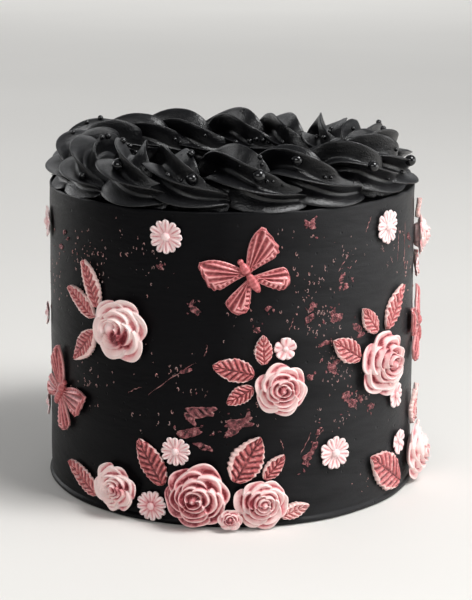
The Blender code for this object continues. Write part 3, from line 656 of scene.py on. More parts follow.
def rope_stroke(number, outline):
    """One piped stroke: the outline carried along a path that rises, bends over the crest and falls.

    Both feet run level along the ring, so that from above and from the side the stroke is a long S. Strokes
    differ in size, height and turn, as piped by hand, and stand tallest at the front.
    """
    middle = 2 * np.pi / ROPE_STROKES * number + 0.03 * math.sin(3.7 * number)
    size = ROPE_STROKE_RADIUS * (1 + 0.045 * math.sin(2.3 * number + 0.6))
    tall = 1 + 0.09 * math.cos(middle) + 0.03 * math.sin(4.1 * number)
    phase = 0.6 + 0.25 * math.sin(5.3 * number + 1)
    t = np.linspace(0, 1, 60)
    side = 2 * t - 1
    early = np.minimum(1, 1.2 * np.abs(side))
    fallen = np.clip((np.abs(side) - 0.05) / 0.8, 0, 1)
    path = np.stack([
        ROPE_SLANT * (0.4 * side + 0.6 * np.sign(side) * np.abs(side) ** 2.6),
        np.sign(side) * ROPE_REACH * np.sin(np.pi / 2 * early),
        tall * (ROPE_FOOT + (ROPE_CREST - ROPE_FOOT) * (0.5 + 0.5 * np.cos(np.pi * fallen))),
    ], -1)
    ahead = np.gradient(path, axis=0)
    ahead /= np.linalg.norm(ahead, axis=1)[:, None]
    beside = np.cross(ahead, [0.0, 0.0, 1.0])
    beside /= np.linalg.norm(beside, axis=1)[:, None]
    above = np.cross(beside, ahead)
    swell = size * (0.12 + 0.88 * np.abs(np.sin(np.pi * t ** 0.8)) ** 0.4)
    swell[[0, -1]] = 0
    spin = phase + ROPE_TWIST * t
    x = outline[None, :, 0] * np.cos(spin)[:, None] - outline[None, :, 1] * np.sin(spin)[:, None]
    y = outline[None, :, 0] * np.sin(spin)[:, None] + outline[None, :, 1] * np.cos(spin)[:, None]
    reach = np.hypot(outline[:, 0], outline[:, 1])[None, :]
    places = np.linspace(0, 2 * np.pi, len(outline), endpoint=False)[None, :]
    wander = 1 + 0.022 * reach ** 4 * ripple(100 + number, places, 20 * t[:, None], 12, 9, 1.0)
    local = path[:, None, :] + (swell[:, None] * wander)[..., None] * (
        x[..., None] * beside[:, None, :] + y[..., None] * above[:, None, :])
    turn = middle + local[..., 0] / ROPE_RING_RADIUS
    radius = ROPE_RING_RADIUS + local[..., 1]
    low = np.maximum(CAKE_HEIGHT + local[..., 2], CAKE_HEIGHT + 0.1 * MM)
    return np.stack([radius * np.sin(turn), -radius * np.cos(turn), low], -1)


def rope_border():
    """The rope: its strokes over a hidden bead, a ring of 9 by 5.7 mm half axes that closes their hearts."""
    outline = star_outline(bpy.context.scene.cake_icing.blades)
    grids = [(rope_stroke(number, outline), 0.0, False, True) for number in range(ROPE_STROKES)]
    a = np.linspace(0, 2 * np.pi, 96, endpoint=False)[:, None]
    b = np.linspace(0, 2 * np.pi, 16, endpoint=False)[None, :]
    radius = ROPE_RING_RADIUS + 9 * MM * np.cos(b)
    level = CAKE_HEIGHT + 6 * MM + 5.7 * MM * np.sin(b) + 0 * a
    grids.append((np.stack([radius * np.sin(a), -radius * np.cos(a), level], -1), 0.0, True, True))
    finish = black_buttercream("piped_black_buttercream", 0.62 * MM, 0.23 * MM, False, 1.5, 0.32)
    return piece_from("piped_rope", grids, finish, ["rope_border"])


def ball(middle, radius, rows=10, columns=14):
    """A sphere as a grid from pole to pole."""
    polar = np.linspace(0, np.pi, rows)[:, None]
    round_about = np.linspace(0, 2 * np.pi, columns, endpoint=False)[None, :]
    return np.stack([
        middle[0] + radius * np.sin(polar) * np.cos(round_about),
        middle[1] + radius * np.sin(polar) * np.sin(round_about),
        middle[2] + radius * np.cos(polar) + 0 * round_about,
    ], -1)


def sugar_pearls():
    """Pearls in their places in front, and round the rest in clusters, each lying on the rope where it falls.

    One that would fall on a steep place or on a thin blade's edge is left out.
    """
    surface = BVHTree.FromObject(bpy.data.objects["piped_rope"], bpy.context.evaluated_depsgraph_get())
    down = Vector((0, 0, -1))
    draw = np.random.default_rng(21)
    grids = []
    for x, y, radius in PEARLS_IN_FRONT:
        found = seen_at(surface, x, y)
        if found is not None:
            rows = 16 if radius > 1.6 else 9
            middle = found + Vector((0, -0.35, 0.35)) * radius * MM
            grids.append((ball(middle, radius * MM, rows, int(1.5 * rows)), 0.0, False, True))
    wanted = [(angle, across, radius, 16) for angle, across, radius in LARGE_PEARLS]
    for angle, across, spread, count, radius in PEARL_CLUSTERS:
        for _ in range(count):
            wanted.append((angle + math.degrees(draw.normal(0, spread) / 66),
                           across + draw.normal(0, spread * 0.6), radius * draw.uniform(0.6, 1.25), 8))
    for _ in range(TINY_PEARLS):
        wanted.append((draw.uniform(0, 360), draw.normal(4, 10), draw.uniform(0.3, 0.6), 6))
    for angle, across, radius, rows in wanted:
        a = math.radians(angle)
        reach = ROPE_RING_RADIUS + across * MM
        above = Vector((reach * math.sin(a), -reach * math.cos(a), 0.2))
        found, facing = surface.ray_cast(above, down)[:2]
        if found is None or found.z < CAKE_HEIGHT + 1 * MM or facing.z < LEVEL_ENOUGH:
            continue
        sides = [surface.ray_cast(above + Vector(step) * MM, down)[0]
                 for step in ((1.2, 0, 0), (-1.2, 0, 0), (0, 1.2, 0), (0, -1.2, 0))]
        if all(side is not None and abs(side.z - found.z) < LARGEST_DROP for side in sides):
            middle = found + Vector((0, 0, 0.5 * radius * MM))
            grids.append((ball(middle, radius * MM, rows, int(1.5 * rows)), 0.0, False, True))
    finish = sugar_pearl("black_sugar_pearl", bpy.context.scene.cake_icing.pearl)
    return piece_from("sugar_pearls", grids, finish)


def rose_surface(entry, stem):
    """Heights of a moulded rose over a grid of turns and shares of its outline, with the paint it holds.

    Every petal is a cup: from its rim its face sinks inward as 1 - (1 - q)^2, where q is the share of the way
    in, and outside the rim it drops at once. The rose is the highest of its petals at each place, so a petal
    hides what lies under it and leaves a crevice along its rim. One end of each petal lies over the next.
    Paint grows with how far a place lies under its surroundings, and towards the dab of colour.
    """
    name, _, _, radius, turn, outer, inner, fold, lean_x, lean_y, heart, ruffle = entry[:12]
    dab_turn, dab_far, dab = entry[12:]
    draw = np.random.default_rng(seed_of(name))
    layers = PETAL_LAYERS if radius > 6 else (PETAL_LAYERS[0], PETAL_LAYERS[2], PETAL_LAYERS[3])
    petals = []
    for level, (count, rim, rise, half, dip, face) in enumerate(layers):
        for k in range(count):
            reach = rim * draw.uniform(0.93, 1.06)
            level_mm = rise + draw.uniform(-0.25, 0.25)
            place = math.radians(turn) + 2 * np.pi * (k + 0.37 * level + draw.uniform(-0.1, 0.1)) / count
            petals.append((reach, level_mm, half, dip, face, place, draw.uniform(0, 6), rim))

    def edge_of(petal, angle):
        """How far a petal's rim lies from the middle at an angle, and the place along the rim, -1 to 1."""
        rim, _, half, _, _, place, wave, _ = petal
        u = (np.angle(np.exp(1j * (angle - place)))) / half
        shape = 1 - 0.24 * np.abs(u) ** 2.2
        shape = shape + 0.026 * ruffle * (np.sin(2.7 * u + wave) + 0.7 * np.sin(6.1 * u + 2.3 * wave))
        return rim * shape - 3.0 * np.maximum(0, np.abs(u) - 0.95), u

    angle = np.linspace(0, 2 * np.pi, 180, endpoint=False)[None, :]
    outline = np.max([edge_of(petal, angle)[0] for petal in petals if petal[7] == 1.0], axis=0)
    share = np.linspace(1, 0, 84)[:, None]
    x, y = share * outline * np.cos(angle), share * outline * np.sin(angle)
    height = np.full(x.shape, -9.0)
    sunk = np.zeros(x.shape)
    depth = np.zeros(x.shape)
    for petal in petals:
        rim, rise, half, dip, face, place, wave, level = petal
        across, up = x - lean_x * (1 - level), y - lean_y * (1 - level)
        far = np.hypot(across, up)
        edge, u = edge_of(petal, np.arctan2(up, across))
        q = np.clip((edge - far) / face, 0, 1)
        bent = 0.28 * ruffle * np.sin(3.7 * u + wave) * (1 - q)
        top = rise + 1.05 * u + bent - dip * (1 - (1 - q) ** 2)
        top = top - 0.35 * (1 - smoothstep(0, 0.05, edge - far)) - 60 * np.maximum(0, far - edge)
        if level == 1.0:
            top = np.maximum(top, rise - dip)
        sunk = np.where(top > height, q, sunk)
        depth = np.where(top > height, 1 - level, depth)
        height = np.maximum(height, top)
    heart_far = np.hypot((x - 0.9 * lean_x) / 0.13, (y - 0.9 * lean_y) / 0.16) / heart
    egg = 7.4 - 2.4 * heart_far ** 2.4
    sunk = np.where(egg > height, 0.5 * heart_far, sunk)
    height = np.maximum(height, egg)
    around = np.zeros(x.shape)
    reach = (-6, -3, 0, 3, 6)
    padded = np.pad(height, ((6, 6), (0, 0)), mode="edge")
    for i in reach:
        for j in reach:
            around = around + np.roll(padded[6 + i:6 + i + len(share)], 2 * j, axis=1) / len(reach) ** 2
    crevice = smoothstep(0.0, 1.4, around - height)
    near_rim = 1 - smoothstep(0.02, 0.22, sunk)
    body = outer + (inner - outer) * smoothstep(0.1, 0.45, depth)
    towards = (math.cos(math.radians(dab_turn)), math.sin(math.radians(dab_turn)))
    spot = np.exp(-((x - dab_far * towards[0]) ** 2 + (y - dab_far * towards[1]) ** 2) / 0.20 ** 2)
    wash = 1 + 0.6 * (x * towards[0] + y * towards[1])
    patchy = 1 + 0.25 * ripple(int(radius * 10), 7 * x, 7 * y, 9, 3, 3.0)
    paint = body * wash * patchy * (0.55 + 0.45 * sunk) * (1 - 0.75 * near_rim) + fold * crevice
    paint = paint + dab * spot * (0.06 * dab + 0.88 * np.maximum(crevice, sunk * patchy))
    out = (stem + height * (radius / FULL_ROSE)) * MM
    size = radius * MM
    return x * size, y * size, out, np.clip(paint, 0, 1), outline * size, angle


def sugar_rose(entry, stem, finish):
    """A moulded rose: its petalled face, closed below by the outer petals' undersides and a narrow foot."""
    name, centre, height, radius = entry[:4]
    x, y, out, paint, outline, angle = rose_surface(entry, stem)
    size = radius * MM
    under = []
    for share, level, rounded in ((0.0, 0.3, 1.0), (0.5, 0.3, 1.0), (0.56, 1.2, 1.0),
                                  (0.62, stem - 0.1, 1.0), (0.86, stem + 0.1, 0.0), (0.97, stem + 0.3, 0.0)):
        reach = share * (rounded * size + (1 - rounded) * outline)
        under.append(np.stack([reach * np.cos(angle), reach * np.sin(angle), level * MM + 0 * angle], -1))
    edge = np.stack([x[:1], y[:1], (out[:1] + (stem + 0.3) * MM) / 2], -1)
    points = np.concatenate(under + [edge, np.stack([x, y, out], -1)])
    points[-len(x), :, 2] -= 0.15 * MM
    paint = np.concatenate([np.full((len(under) + 1, angle.size), 0.3 * entry[6]), paint])
    grid = wrapped(points[..., 0], points[..., 1], points[..., 2], centre, height * MM)
    return piece_from(name + "_petals", [(grid, paint, False, True)], finish, [name])


def sugar_leaf(entry, finish):
    """A moulded leaf: grooved midrib and slanting veins with swollen flesh between, and a pale toothed rim.

    Along it runs s from base to tip and across it t from -1 to 1. The veins are narrow grooves where the
    place along less the slant times |t| meets whole steps.
    """
    name, angle, height, tip_angle, tip_height, width, amount, rim_share, pairs = entry
    rise = (tip_height - height) * MM
    reach = math.radians(tip_angle - angle) * wall_radius(height * MM)
    span = math.hypot(reach, rise)
    ahead = (reach / span, rise / span)
    seed = seed_of(name)
    s = np.linspace(0, 1, 84)[:, None]
    t = np.concatenate([np.linspace(-1, 1, 37), np.linspace(1, -1, 19)[1:-1]])[None, :]
    under = np.concatenate([np.zeros(37), np.ones(17)])[None, :]
    teeth = 1 + 0.10 * (np.abs(((s * pairs * 1.3) % 1.0) * 2 - 1) - 0.5) * smoothstep(0.05, 0.2, s)
    teeth = teeth + 0.03 * ripple(seed, 9 * s, np.sign(t), 6, 6, 1.0)
    half = width * MM / 2 * np.abs(np.sin(np.pi * s ** 0.84)) ** 0.72 * teeth
    half = np.maximum(half, 0.05 * MM)
    slant = s * pairs - 1.5 * np.abs(t) ** 0.85
    border = 1 - rim_share * (1 + 0.5 * t)
    inside = 1 - smoothstep(border - 0.08, border + 0.06, np.abs(t) + 0.06 * ripple(seed, 8 * s, t, 8, 5, 3))
    vein = np.exp(-((slant % 1.0 - 0.5) / 0.17) ** 2) * inside * smoothstep(0.02, 0.12, s)
    fine = np.exp(-(((2 * slant) % 1.0 - 0.5) / 0.25) ** 2) * inside
    midrib = np.exp(-(t / 0.07) ** 2) * (1 - smoothstep(0.85, 1.0, s))
    groove = np.maximum(vein * smoothstep(0.0, 0.1, np.abs(t)), midrib)
    lumps = 0.12 * ripple(seed + 1, 14 * s, 6 * t, 10, 4, 2.0)
    wavy = 0.22 * MM * np.sin(7 * s + 1.5 * t) * np.abs(t)
    base = 0.6 * MM + wavy + 0.9 * MM * s ** 2
    thick = 1.05 * MM * np.sqrt(1 - t ** 6) + 0.12 * MM
    swell = 0.75 * (1 - groove) - 0.2 * fine + 0.3 * (1 - inside) + lumps - 0.3
    out = base + (1 - under) * (thick + MM * swell * np.sqrt(1 - t ** 8) + 0.3 * MM * (1 - t ** 2))
    ends = smoothstep(0.0, 0.05, s) * smoothstep(0.0, 0.03, 1 - s)
    out = base + (out - base) * ends
    x = ahead[0] * span * s - ahead[1] * half * t
    y = ahead[1] * span * s + ahead[0] * half * t
    # Painted highlight: the ridge tops are painted paler. The grooves hold the colour that gathers in the
    # veins, made deeper as painted shade.
    painted_ridge_highlight = (1 - groove) ** 2 * (1 - fine) * (0.7 + 0.5 * ripple(seed + 2, 20 * s, 6 * t, 8, 4, 3.0))
    paint = amount * inside * (0.66 + 0.6 * groove - 0.26 * painted_ridge_highlight) + 0.05 * (1 - inside)
    paint = np.clip(paint * (1 - under), 0, 1)
    grid = wrapped(x, y, out, angle, height * MM)
    return piece_from(name + "_veined", [(grid, paint, False, True)], finish, [name])


def flower_petal(length_mm, width_mm, notch, cup, groove, place, start):
    """One flower petal: widest near its end, notched there, cupped, with a groove down its middle.

    The groove is painted pinker, and a painted shadow lies along the sides, where the petals meet.
    """
    s = np.linspace(0, 1, 14)[:, None]
    t = np.concatenate([np.linspace(-1, 1, 11), np.linspace(1, -1, 11)[1:-1]])[None, :]
    under = np.concatenate([np.zeros(11), np.ones(9)])[None, :]
    widening = 0.35 + 0.65 * np.sin(np.pi / 2 * np.clip(s * 1.25, 0, 1))
    half = np.maximum(width_mm / 2 * widening * np.sqrt(np.clip(1 - s ** 7, 0, 1)), 0.02)
    along = start + (length_mm - start) * s - notch * np.exp(-(t / 0.28) ** 2) * s ** 6
    out = cup * s ** 2 + (1 - under) * 0.75 * np.sqrt(np.clip(1 - t ** 4, 0, 1))
    out = out - groove * np.exp(-(t / 0.22) ** 2) * smoothstep(0.2, 0.9, s) * (1 - under)
    ends = np.sqrt(np.clip(1 - s ** 10, 0, 1))
    out = cup * s ** 2 + (out - cup * s ** 2) * ends
    x = along * math.cos(place) - half * t * math.sin(place)
    y = along * math.sin(place) + half * t * math.cos(place)
    # The groove is painted pinker, and along the sides, where each petal meets the next, lies a painted
    # shadow.
    groove_tint_and_painted_shadow = 0.46 * np.exp(-(t / 0.2) ** 2) * smoothstep(0.1, 0.5, s) * (1 - smoothstep(0.8, 1.0, s))
    groove_tint_and_painted_shadow = groove_tint_and_painted_shadow + 0.42 * smoothstep(0.75, 1.0, np.abs(t)) * (1 - smoothstep(0.6, 0.95, s))
    return x, y, out, s, groove_tint_and_painted_shadow


def sugar_flower(entry, finish, round_petals):
    """A daisy or blossom cut from sugar paste: one ring of petals round a domed button."""
    name, angle, height, radius, petals, turn, amount = entry
    draw = np.random.default_rng(seed_of(name))
    grids = []
    for k in range(petals):
        place = math.radians(turn) + 2 * np.pi * (k + draw.uniform(-0.08, 0.08)) / petals
        reach = radius * draw.uniform(0.93, 1.02)
        if round_petals:
            sizes = (reach, 1.18 * radius * 2 * math.sin(np.pi / petals) * 0.72, 0.45, 0.8, 0.25)
        else:
            sizes = (reach, 2 * radius * 0.75 * math.sin(np.pi / petals) * 1.15, 1.1, 0.7, 0.6)
        x, y, out, s, groove_tint_and_painted_shadow = flower_petal(*sizes, place, 0.12 * radius)
        lift = 0.6 + 0.35 * (k % 2)
        paint = amount * 0.7 * np.exp(-(s / 0.4) ** 2) + 0.03 + groove_tint_and_painted_shadow
        grids.append((laid(x, y, out + lift, angle, height), paint, False, True))
    polar = np.linspace(0, np.pi / 2 * 1.3, 9)[:, None]
    a = np.linspace(0, 2 * np.pi, 24, endpoint=False)[None, :]
    button = (0.24 if round_petals else 0.25) * radius
    rho = button * np.sin(polar) * (1 + 0.05 * np.cos(7 * a))
    out = 1.7 + button * 0.75 * np.cos(polar) + 0.07 * np.cos(9 * a) * np.sin(3 * polar)
    x, y = rho * np.cos(a), rho * np.sin(a)
    paint = amount * (0.25 + 0.9 * smoothstep(0.8, 1.8, polar)) + 0 * a
    dome = laid(x, y, out, angle, height)
    foot = wrapped(0 * x[-1:], 0 * y[-1:], 0 * x[-1:] + 0.9 * MM, angle, height * MM)
    grids.append((np.concatenate([dome, foot]), np.concatenate([paint, paint[-1:]]), False, True))
    return piece_from(name + "_petals", grids, finish, [name])


def wing(kind, side, turn, root):
    """One wing: its two edges follow the widths along it, its ribs fan from the root, and a scalloped band
    with small cells runs round its outer edge."""
    span, spread, edges = kind
    marks = np.array(edges)
    s = np.linspace(0, 1, 52)[:, None]
    lead = np.interp(s, marks[:, 0], marks[:, 1])
    trail = np.interp(s, marks[:, 0], marks[:, 2])
    kernel = np.ones(7) / 7
    lead = np.convolve(np.pad(lead[:, 0], 3, mode="edge"), kernel, "valid")[:, None]
    trail = np.convolve(np.pad(trail[:, 0], 3, mode="edge"), kernel, "valid")[:, None]
    trail = trail * (1 + 0.05 * np.cos(2 * np.pi * 7 * s) * smoothstep(0.4, 0.55, s))
    t = np.concatenate([np.linspace(-1, 1, 37), np.linspace(1, -1, 37)[1:-1]])[None, :]
    under = np.concatenate([np.zeros(37), np.ones(35)])[None, :]
    half = (lead + trail) / 2
    across = half * t + (trail - lead) / 2
    from_root = np.hypot(s * span, across)
    fan = np.arctan2(across, s * span + 2.0)
    ribs = np.exp(-(((fan / 0.17) % 1.0 - 0.5) / 0.22) ** 2)
    edge_gap = np.minimum(np.minimum(half * (1 - np.abs(t)), (1 - s) * span * 0.8), 9.0)
    band = 1 - smoothstep(2.0, 2.7, edge_gap + 1.4 * (1 - smoothstep(-0.2, 0.4, t)))
    line = np.exp(-((edge_gap - 2.4) / 0.3) ** 2) * smoothstep(-0.3, 0.2, t)
    cells = 0.5 + 0.5 * np.cos(2 * np.pi * from_root / 2.0 + 3 * fan)
    cell_relief = band * smoothstep(0.2, 0.7, cells) * smoothstep(0.3, 0.9, edge_gap)
    rim = np.exp(-(edge_gap / 0.45) ** 2)
    ridges = np.maximum(np.maximum(ribs * (1 - band), line), np.maximum(rim, 0.8 * cell_relief))
    base = 0.7 + 1.1 * s + 0.35 * np.sin(2.2 * t + 0.6)
    thick = 1.25 * np.sqrt(np.clip(1 - t ** 8, 0, 1)) + 0.1
    out = base + (1 - under) * (thick + 0.75 * ridges) * np.sqrt(np.clip(1 - s ** 14, 0, 1))
    a = math.radians(turn + side * spread)
    ahead = (-math.sin(a), math.cos(a))
    before = (-side * ahead[1], side * ahead[0])
    x = root[0] + ahead[0] * span * s + before[0] * across
    y = root[1] + ahead[1] * span * s + before[1] * across
    # Painted highlight: the ribs, the band's line and cells and the rim are painted paler than the wing
    # between them.
    paint = np.clip(0.95 - 0.8 * ridges + 0.12 * np.sin(5 * s + 4 * t), 0, 1) * (1 - under)
    return x, y, out, paint


def sugar_butterfly(entry, finish):
    """A moulded butterfly: four ribbed wings, and a body of head, thorax and ringed abdomen."""
    name, angle, height, turn = entry
    a = math.radians(turn)
    grids = []
    for kind, shift in ((LOWER_WING, -1.6), (UPPER_WING, 1.6)):
        for side in (-1, 1):
            root = (-side * 0.7 * math.cos(a) - shift * math.sin(a),
                    -side * 0.7 * math.sin(a) + shift * math.cos(a))
            x, y, out, paint = wing(kind, side, turn, root)
            grids.append((laid(x, y, out, angle, height), paint, False, True))
    t = np.linspace(0, 1, 44)[:, None]
    b = np.linspace(0, 2 * np.pi, 20, endpoint=False)[None, :]
    head = 1.3 * np.sqrt(np.clip(1 - ((t - 0.08) / 0.08) ** 2, 0, 1))
    thorax = 2.05 * np.sqrt(np.clip(1 - ((t - 0.30) / 0.17) ** 2, 0, 1))
    abdomen = 1.9 * np.sqrt(np.clip(1 - ((t - 0.70) / 0.30) ** 2, 0, 1)) * (1 + 0.02 * np.cos(60 * t))
    girth = np.maximum(np.maximum(head, thorax), abdomen)
    along = 8.2 - 16.4 * t
    across = girth * np.cos(b)
    out = 2.4 + girth * 0.95 * np.sin(b)
    x = across * math.cos(a) - along * math.sin(a)
    y = across * math.sin(a) + along * math.cos(a)
    paint = 0.52 + 0.10 * np.cos(60 * t) + 0.3 * np.exp(-((t - 0.45) / 0.05) ** 2) + 0 * b
    grids.append((laid(x, y, out, angle, height), np.clip(paint, 0, 1), False, True))
    return piece_from(name + "_wings", grids, finish, [name])


def flake(angle, height, half_width, draw, rows=12, columns=40, slant=None, narrow=None):
    """A scrap of leaf: a disc with a torn outline, stretched one way and crumpled into small humps.

    The humps are a sum of cosines at two sizes, and its rim stands up pale.
    """
    share = np.linspace(0, 1, rows)[:, None]
    a = np.linspace(0, 2 * np.pi, columns, endpoint=False)[None, :]
    outline = 1 + 0.22 * ripple(draw.integers(1e6), a, 0 * a, 5, 5, 0)
    outline = outline + 0.10 * ripple(draw.integers(1e6), a, 0 * a, 7, 17, 0)
    outline = np.clip(outline, 0.35, 1.6)
    slant = draw.uniform(0, np.pi) if slant is None else math.radians(slant)
    narrow = draw.uniform(0.35, 0.7) if narrow is None else narrow
    reach = half_width * share * outline
    along, beside = reach * np.cos(a), narrow * reach * np.sin(a)
    x = along * math.cos(slant) - beside * math.sin(slant)
    y = along * math.sin(slant) + beside * math.cos(slant)
    crumple = 0.5 + 0.4 * ripple(draw.integers(1e6), along, beside, 9, 2, 2.4)
    crumple = crumple + 0.3 * ripple(draw.integers(1e6), 2.7 * along, 2.7 * beside, 9, 2, 2.4)
    rim = smoothstep(0.78, 0.96, share) * (0.6 + 0.4 * np.cos(3 * a + half_width))
    out = 0.08 + 0.34 * np.clip(crumple, 0, 1.2) * (1 - share ** 8) + 0.14 * rim
    top = laid(x, y, out, angle, height)
    below = laid(x[::-1], y[::-1], 0 * x - 0.1, angle, height)
    paint = np.clip(1.05 - 0.7 * crumple - 0.45 * rim, 0, 1)
    return np.concatenate([top, below]), np.concatenate([paint, paint[::-1]])


def metallic_scraps():
    """The flakes, with smaller scraps torn from them close by, and hairlines of leaf."""
    draw = np.random.default_rng(31)
    wall = BVHTree.FromObject(bpy.data.objects["iced_wall"], bpy.context.evaluated_depsgraph_get())
    wanted = [(angle, height, half_width, None, None) for angle, height, half_width in FLAKES]
    for x, y, half_width, slant, narrow in FLAKES_IN_FRONT:
        wanted.append((*place_on_wall(seen_at(wall, x, y)), half_width, slant, narrow))
    grids = []
    for angle, height, half_width, slant, narrow in wanted:
        grids.append((*flake(angle, height, half_width, draw, slant=slant, narrow=narrow), False, True))
        for _ in range(2):
            away = draw.normal(0, 1.0, 2) * (half_width + 0.8)
            size = draw.uniform(0.35, 0.8)
            scrap = flake(angle + away[0] / ARC_OF_DEGREE, height + away[1], size, draw, 4, 10)
            grids.append((*scrap, False, True))
    lines = list(STREAKS)
    for x, y, end_x, end_y, width in STREAKS_IN_FRONT:
        start, end = seen_at(wall, x, y), seen_at(wall, end_x, end_y)
        lines.append((*place_on_wall(start), *place_on_wall(end), width))
    for angle, height, end_angle, end_height, width in lines:
        s = np.linspace(0, 1, 40)[:, None]
        b = np.linspace(0, 2 * np.pi, 6, endpoint=False)[None, :]
        rise = end_height - height
        reach = (end_angle - angle) * ARC_OF_DEGREE
        span = math.hypot(reach, rise)
        sway = 0.5 * np.sin(3.1 * s + angle) + 0.15 * np.sin(17 * s + height)
        girth = width / 2 * np.sqrt(np.clip(s * (1 - s) * 4, 0, 1)) * (0.6 + 0.4 * np.cos(23 * s + angle))
        x = reach * s - rise / span * (sway + girth * np.cos(b))
        y = rise * s + reach / span * (sway + girth * np.cos(b))
        out = 0.08 + 0.6 * girth * np.sin(b)
        grids.append((laid(x, y, out, angle, height), 0.15 + 0.2 * np.cos(15 * s) + 0 * b, False, True))
    settings = bpy.context.scene.cake_leaf
    finish = metallic_leaf("crumpled_rose_gold_leaf", settings.edge, settings.foil, settings.shade)
    return piece_from("metallic_leaf_scraps", grids, finish)


def droplets():
    """Tiny droplets in drifts, dried to crescents and rings from 0.5 to 1.5 mm long, with specks between.

    A crescent is a tube bent round an arc, thickest in its middle and stretched along the wall.
    """
    draw = np.random.default_rng(41)
    grids = []
    for angle, height, spread, rise, count in DRIFTS:
        for _ in range(count):
            place = angle + draw.normal(0, spread * 0.6)
            z = np.clip(height + draw.normal(0, rise * 0.6), 4, 132)
            size = 0.25 + 0.45 * draw.random() ** 2
            speck = draw.random() < 0.35
            opening = draw.uniform(1.6, 2.9) if not speck else 0.5
            middle = draw.uniform(0, 2 * np.pi)
            s = np.linspace(-1, 1, 8)[:, None]
            b = np.linspace(0, 2 * np.pi, 5, endpoint=False)[None, :]
            girth = (0.13 + 0.10 * size) * np.sqrt(np.clip(1 - s ** 2, 0, 1)) * (1.5 if speck else 1.0)
            bend = (0.3 if speck else 1.0) * size + girth * np.cos(b)
            x = 0.75 * bend * np.cos(middle + opening * s)
            y = 1.25 * bend * np.sin(middle + opening * s)
            out = 0.04 + girth * np.sin(b)
            grids.append((laid(x, y, out, place, z), 0.1 + 0.4 * draw.random(), False, True))
    settings = bpy.context.scene.cake_leaf
    finish = sugar_paste("set_sugar_droplets", settings.drop, settings.edge, settings.shade, 0.3, coat=0.3,
                         grain=0.02)
    return piece_from("sugar_droplets", grids, finish)


def area_light(name, turn, climb, distance, size, power):
    """A soft light turned to the cake, placed by degrees round from the front and up from the floor."""
    lamp = bpy.data.lights.new(name, "AREA")
    lamp.shape = "RECTANGLE"
    lamp.size, lamp.size_y = size
    lamp.energy = power
    holder = bpy.data.objects.new(name, lamp)
    bpy.context.scene.collection.objects.link(holder)
    a, e = math.radians(turn), math.radians(climb)
    away = Vector((math.cos(e) * math.sin(a), -math.cos(e) * math.cos(a), math.sin(e)))
    holder.location = Vector((0, 0, 0.1)) + distance * away
    holder.rotation_euler = away.to_track_quat("Z", "Y").to_euler()
    holder.visible_camera = False
    return holder


def stage_and_camera():
    """A pale floor that runs out of view, soft lights round the cake, and the camera.

    The room is dark towards the front left, so that part of the wall mirrors little and stays black. The
    floor's colour is painted paler with distance, painted light that stands for a backdrop curving up into
    the light.
    """
    scene = bpy.context.scene
    settings = scene.cake_stage
    bpy.ops.mesh.primitive_circle_add(vertices=96, radius=9.0, fill_type="NGON", location=(0, 0, -0.0002))
    floor = bpy.context.object
    floor.name = "floor"
    made, tree, shader, place = new_material("pale_floor_board")
    shade = add(tree, "ShaderNodeTexNoise", {"Vector": place, "Scale": 3.0, "Detail": 2.0})
    tone = ranged(tree, shade.outputs["Fac"], 0.3, 0.7, 0.98, 1.0)
    # Painted light: the floor's colour is made up to 1.3 times lighter with distance, for a lit backdrop.
    far = add(tree, "ShaderNodeVectorMath", {0: place}, operation="LENGTH")
    painted_light_with_distance = ranged(tree, far.outputs["Value"], 0.5, 2.6, 1.0, 1.3)
    paler = add(tree, "ShaderNodeMath", {0: tone, 1: painted_light_with_distance}, operation="MULTIPLY")
    scaled = add(tree, "ShaderNodeVectorMath", {0: settings.floor, "Scale": paler.outputs[0]},
                 operation="SCALE")
    tree.links.new(scaled.outputs[0], shader.inputs["Base Color"])
    shader.inputs["Roughness"].default_value = 0.9
    shader.inputs["Specular IOR Level"].default_value = 0.2
    floor.data.materials.append(made)

    area_light("window_right", 80, 8, 1.7, (1.4, 1.0), settings.key_power)
    area_light("window_left", -128, 8, 1.8, (0.8, 1.2), settings.rim_power)
    area_light("overhead", 60, 55, 1.5, (0.6, 0.6), settings.top_power)
    # This one shines straight down on the floor behind the cake.
    behind = area_light("backdrop", 180, 25, 3.6, (3.0, 2.0), 1.1 * settings.top_power)
    behind.rotation_euler = (0, 0, 0)
    area_light("front_fill", -20, 25, 2.2, (1.6, 0.6), settings.fill_power)

    world = bpy.data.worlds.new("soft_room")
    scene.world = world
    world.use_nodes = True
    tree = world.node_tree
    back = tree.nodes["Background"]
    back.inputs["Color"].default_value = (0.95, 0.97, 1.0, 1.0)
    towards = add(tree, "ShaderNodeTexCoord").outputs["Generated"]
    facing = add(tree, "ShaderNodeVectorMath", {0: towards, 1: (-0.35, -0.93, -0.05)},
                 operation="DOT_PRODUCT")
    dimmed = ranged(tree, facing.outputs["Value"], 0.1, 0.9, settings.room, 0.08 * settings.room)
    tree.links.new(dimmed, back.inputs["Strength"])

    camera = bpy.data.cameras.new("camera")
    camera.sensor_width = SENSOR_WIDTH
    camera.lens = CAMERA_LENS
    camera.clip_start = 0.01
    holder = bpy.data.objects.new("camera", camera)
    scene.collection.objects.link(holder)
    holder.location = CAMERA_PLACE
    holder.rotation_mode = "QUATERNION"
    holder.rotation_quaternion = camera_turn()
    scene.camera = holder
    scene.view_settings.view_transform = "Standard"


class IceWall(bpy.types.Operator):
    """Ice the cake's wall and top"""

    bl_idname = "cake.ice_wall"
    bl_label = "Ice the wall"

    def execute(self, context):
        iced_wall()
        return {"FINISHED"}


class PipeRope(bpy.types.Operator):
    """Pipe the rope border round the top edge"""

    bl_idname = "cake.pipe_rope"
    bl_label = "Pipe the rope"

    def execute(self, context):
        rope_border()
        return {"FINISHED"}


